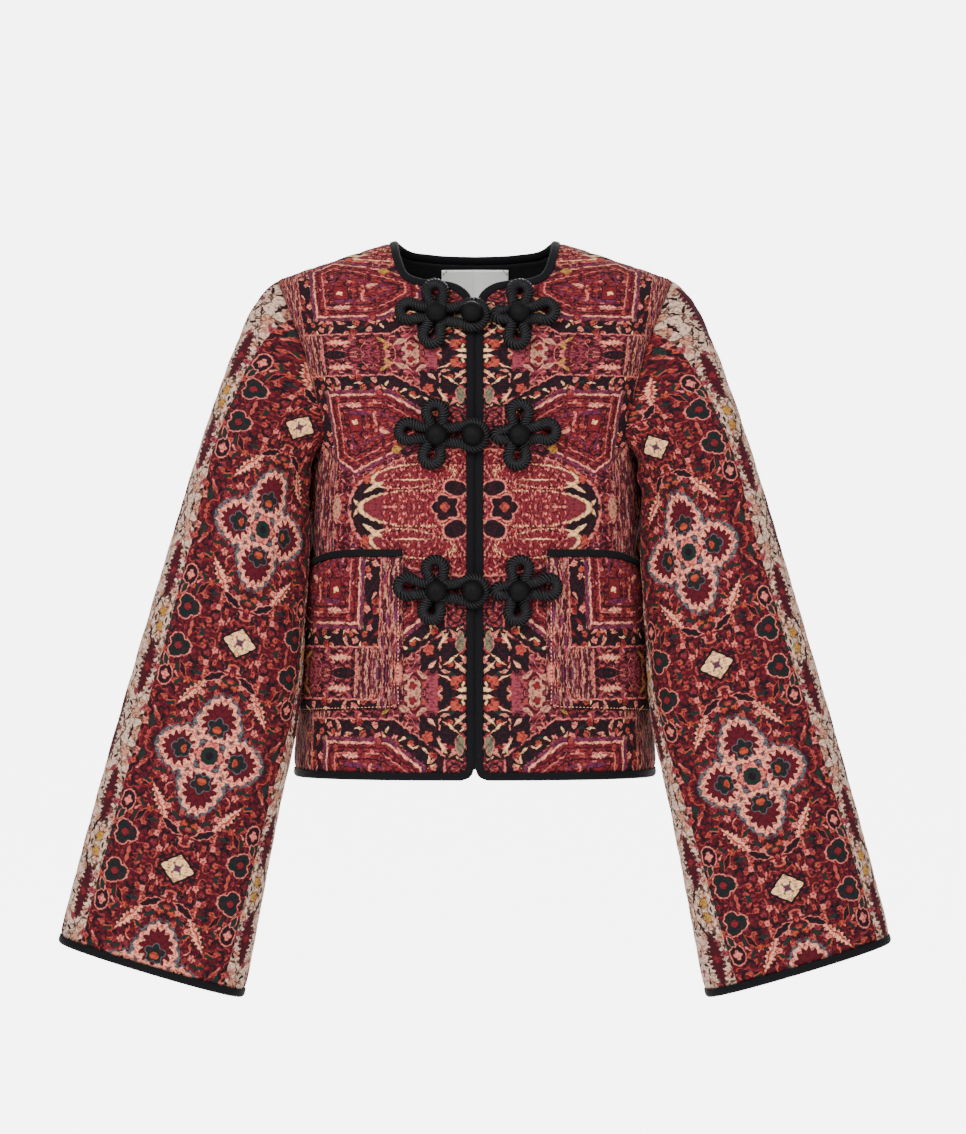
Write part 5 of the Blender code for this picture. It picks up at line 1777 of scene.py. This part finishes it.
def new_material(name, roughness, sheen=0.0, colour=None, specular=CLOTH_SPECULAR):
    """A cloth material, its node tree and its shader."""
    material = bpy.data.materials.new(name)
    material.use_nodes = True
    shader = material.node_tree.nodes["Principled BSDF"]
    set_inputs(shader, {
        "Roughness": roughness,
        "Sheen Weight": sheen,
        "Sheen Roughness": SHEEN_ROUGHNESS,
        "Specular IOR Level": specular,
    })
    if colour:
        set_inputs(shader, {"Base Color": opaque(colour)})
    return material, material.node_tree, shader


def add_bump(tree, shader, height, strength, distance):
    """Roughen a surface by a height."""
    bump = tree.nodes.new("ShaderNodeBump")
    set_inputs(bump, {"Strength": strength, "Distance": distance})
    tree.links.new(height.socket, bump.inputs["Height"])
    tree.links.new(bump.outputs["Normal"], shader.inputs["Normal"])


def velvet_material(name, pattern):
    """Printed velvet with a short uneven nap."""
    material, tree, shader = new_material(name, VELVET_ROUGHNESS, VELVET_SHEEN)
    design = pattern(tree)
    nap, _ = design.noise(design.u, design.v, NAP_SIZE, NAP_DETAIL)
    design.paint((NOISE_MIDDLE - nap).inside(NAP_SOFTNESS) * NAP_SHADE, "black")
    tree.links.new(design.colour, shader.inputs["Base Color"])
    add_bump(tree, shader, nap, NAP_STRENGTH, NAP_HEIGHT)
    return material


def woven_material(name, colour, roughness, sheen, size, tint, specular):
    """Plain cloth with a fine weave that shows as small changes of shade and height."""
    material, tree, shader = new_material(name, roughness, sheen, specular=specular)
    weave = Print(tree, colour)
    threads = (weave.u * (math.tau / size)).of("SINE") * (weave.v * (math.tau / size)).of("SINE")
    grain, _ = weave.noise(weave.u, weave.v, size * GRAIN_THREADS, GRAIN_DETAIL)
    weave.paint(grain * threads.share(), tint)
    tree.links.new(weave.colour, shader.inputs["Base Color"])
    add_bump(tree, shader, threads, WEAVE_STRENGTH, WEAVE_HEIGHT)
    return material


def rope_material():
    """Black twisted yarn with fine fibres along each strand; painted highlights on the fibres and on each
    strand's crest.
    """
    material, tree, shader = new_material("rope", ROPE_ROUGHNESS, specular=ROPE_SPECULAR)
    yarn = Print(tree, "rope")
    across = yarn.v * (math.tau / ROPE_FIBRE_WIDTH)
    fibres = yarn.u.scaled(math.tau / ROPE_FIBRE_LENGTH, across).of("SINE")
    # Paint the fibres a little lighter: fibre texture that also stands as a faint painted highlight
    yarn.paint(fibres.share(), "rope_light")
    # Paint a highlight along the outward crest of each strand, where light would catch it
    crest = (yarn.v * (math.tau / STRAND_GIRTH)).of("COSINE")
    yarn.paint((ROPE_HIGHLIGHT_LEVEL - crest).inside(ROPE_HIGHLIGHT_SOFTNESS), "rope_crest_highlight")
    tree.links.new(yarn.colour, shader.inputs["Base Color"])
    add_bump(tree, shader, fibres, ROPE_STRENGTH, WEAVE_HEIGHT)
    return material


# Studio

def add_sheet(name, corners, glow):
    """A flat white sheet of the studio."""
    mesh = bpy.data.meshes.new(name)
    mesh.from_pydata(corners, [], [(0, 1, 2, 3)])
    material, _, shader = new_material(name, PAPER_ROUGHNESS, colour="paper")
    set_inputs(shader, {"Emission Color": opaque("paper"), "Emission Strength": glow})
    mesh.materials.append(material)
    sheet = add_object(name, mesh)


def studio():
    """Pale floor, bright white wall far behind, soft lamps and the camera."""
    reach = STUDIO_REACH
    sideways = (-reach, reach, reach, -reach)
    floor = [(x, y, FLOOR_Z) for x, y in zip(sideways, (-reach, -reach, reach, reach))]
    back_wall = [(x, reach, z) for x, z in zip(sideways, (FLOOR_Z, FLOOR_Z, WALL_TOP, WALL_TOP))]
    add_sheet("floor", floor, FLOOR_GLOW)
    add_sheet("back_wall", back_wall, WALL_GLOW)
    world = bpy.data.worlds.new("studio")
    world.use_nodes = True
    background = world.node_tree.nodes["Background"]
    set_inputs(background, {"Color": opaque("paper"), "Strength": WORLD_STRENGTH})
    bpy.context.scene.world = world
    for name, place, size, power in LAMPS:
        light = bpy.data.lights.new(name, "AREA")
        light.size = size
        light.energy = power
        lamp = add_object(name, light)
        lamp.location = place
        lamp.rotation_euler = (Vector(LAMP_TARGET) - Vector(place)).to_track_quat("-Z", "Y").to_euler()
    camera = add_object("camera", bpy.data.cameras.new("camera"))
    camera.data.lens = CAMERA_LENS
    camera.location = CAMERA_PLACE
    camera.rotation_euler = (math.pi / 2, 0.0, 0.0)
    bpy.context.scene.camera = camera


def main():
    """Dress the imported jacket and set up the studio."""
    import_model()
    body_velvet = velvet_material("velvet_body", body_print)
    sleeve_velvet = velvet_material("velvet_sleeve", sleeve_print)
    plain = {name: woven_material(name, *row) for name, row in PLAIN_CLOTHS.items()}
    threads = {}
    for name, ink in THREADS.items():
        threads[name] = new_material(name, THREAD_ROUGHNESS, THREAD_SHEEN, ink)[0]
    sleeve = cloth(body_velvet, sleeve_velvet, plain["backing"])
    bindings(sleeve, plain["binding_tape"])
    pockets(body_velvet, plain["backing"], plain["binding_tape"], threads["pocket_thread"])
    neck_facing(plain["facing_cloth"], plain["label_tape"], threads["thread"])
    frogs(rope_material(), plain["knob_cloth"])
    studio()


main()
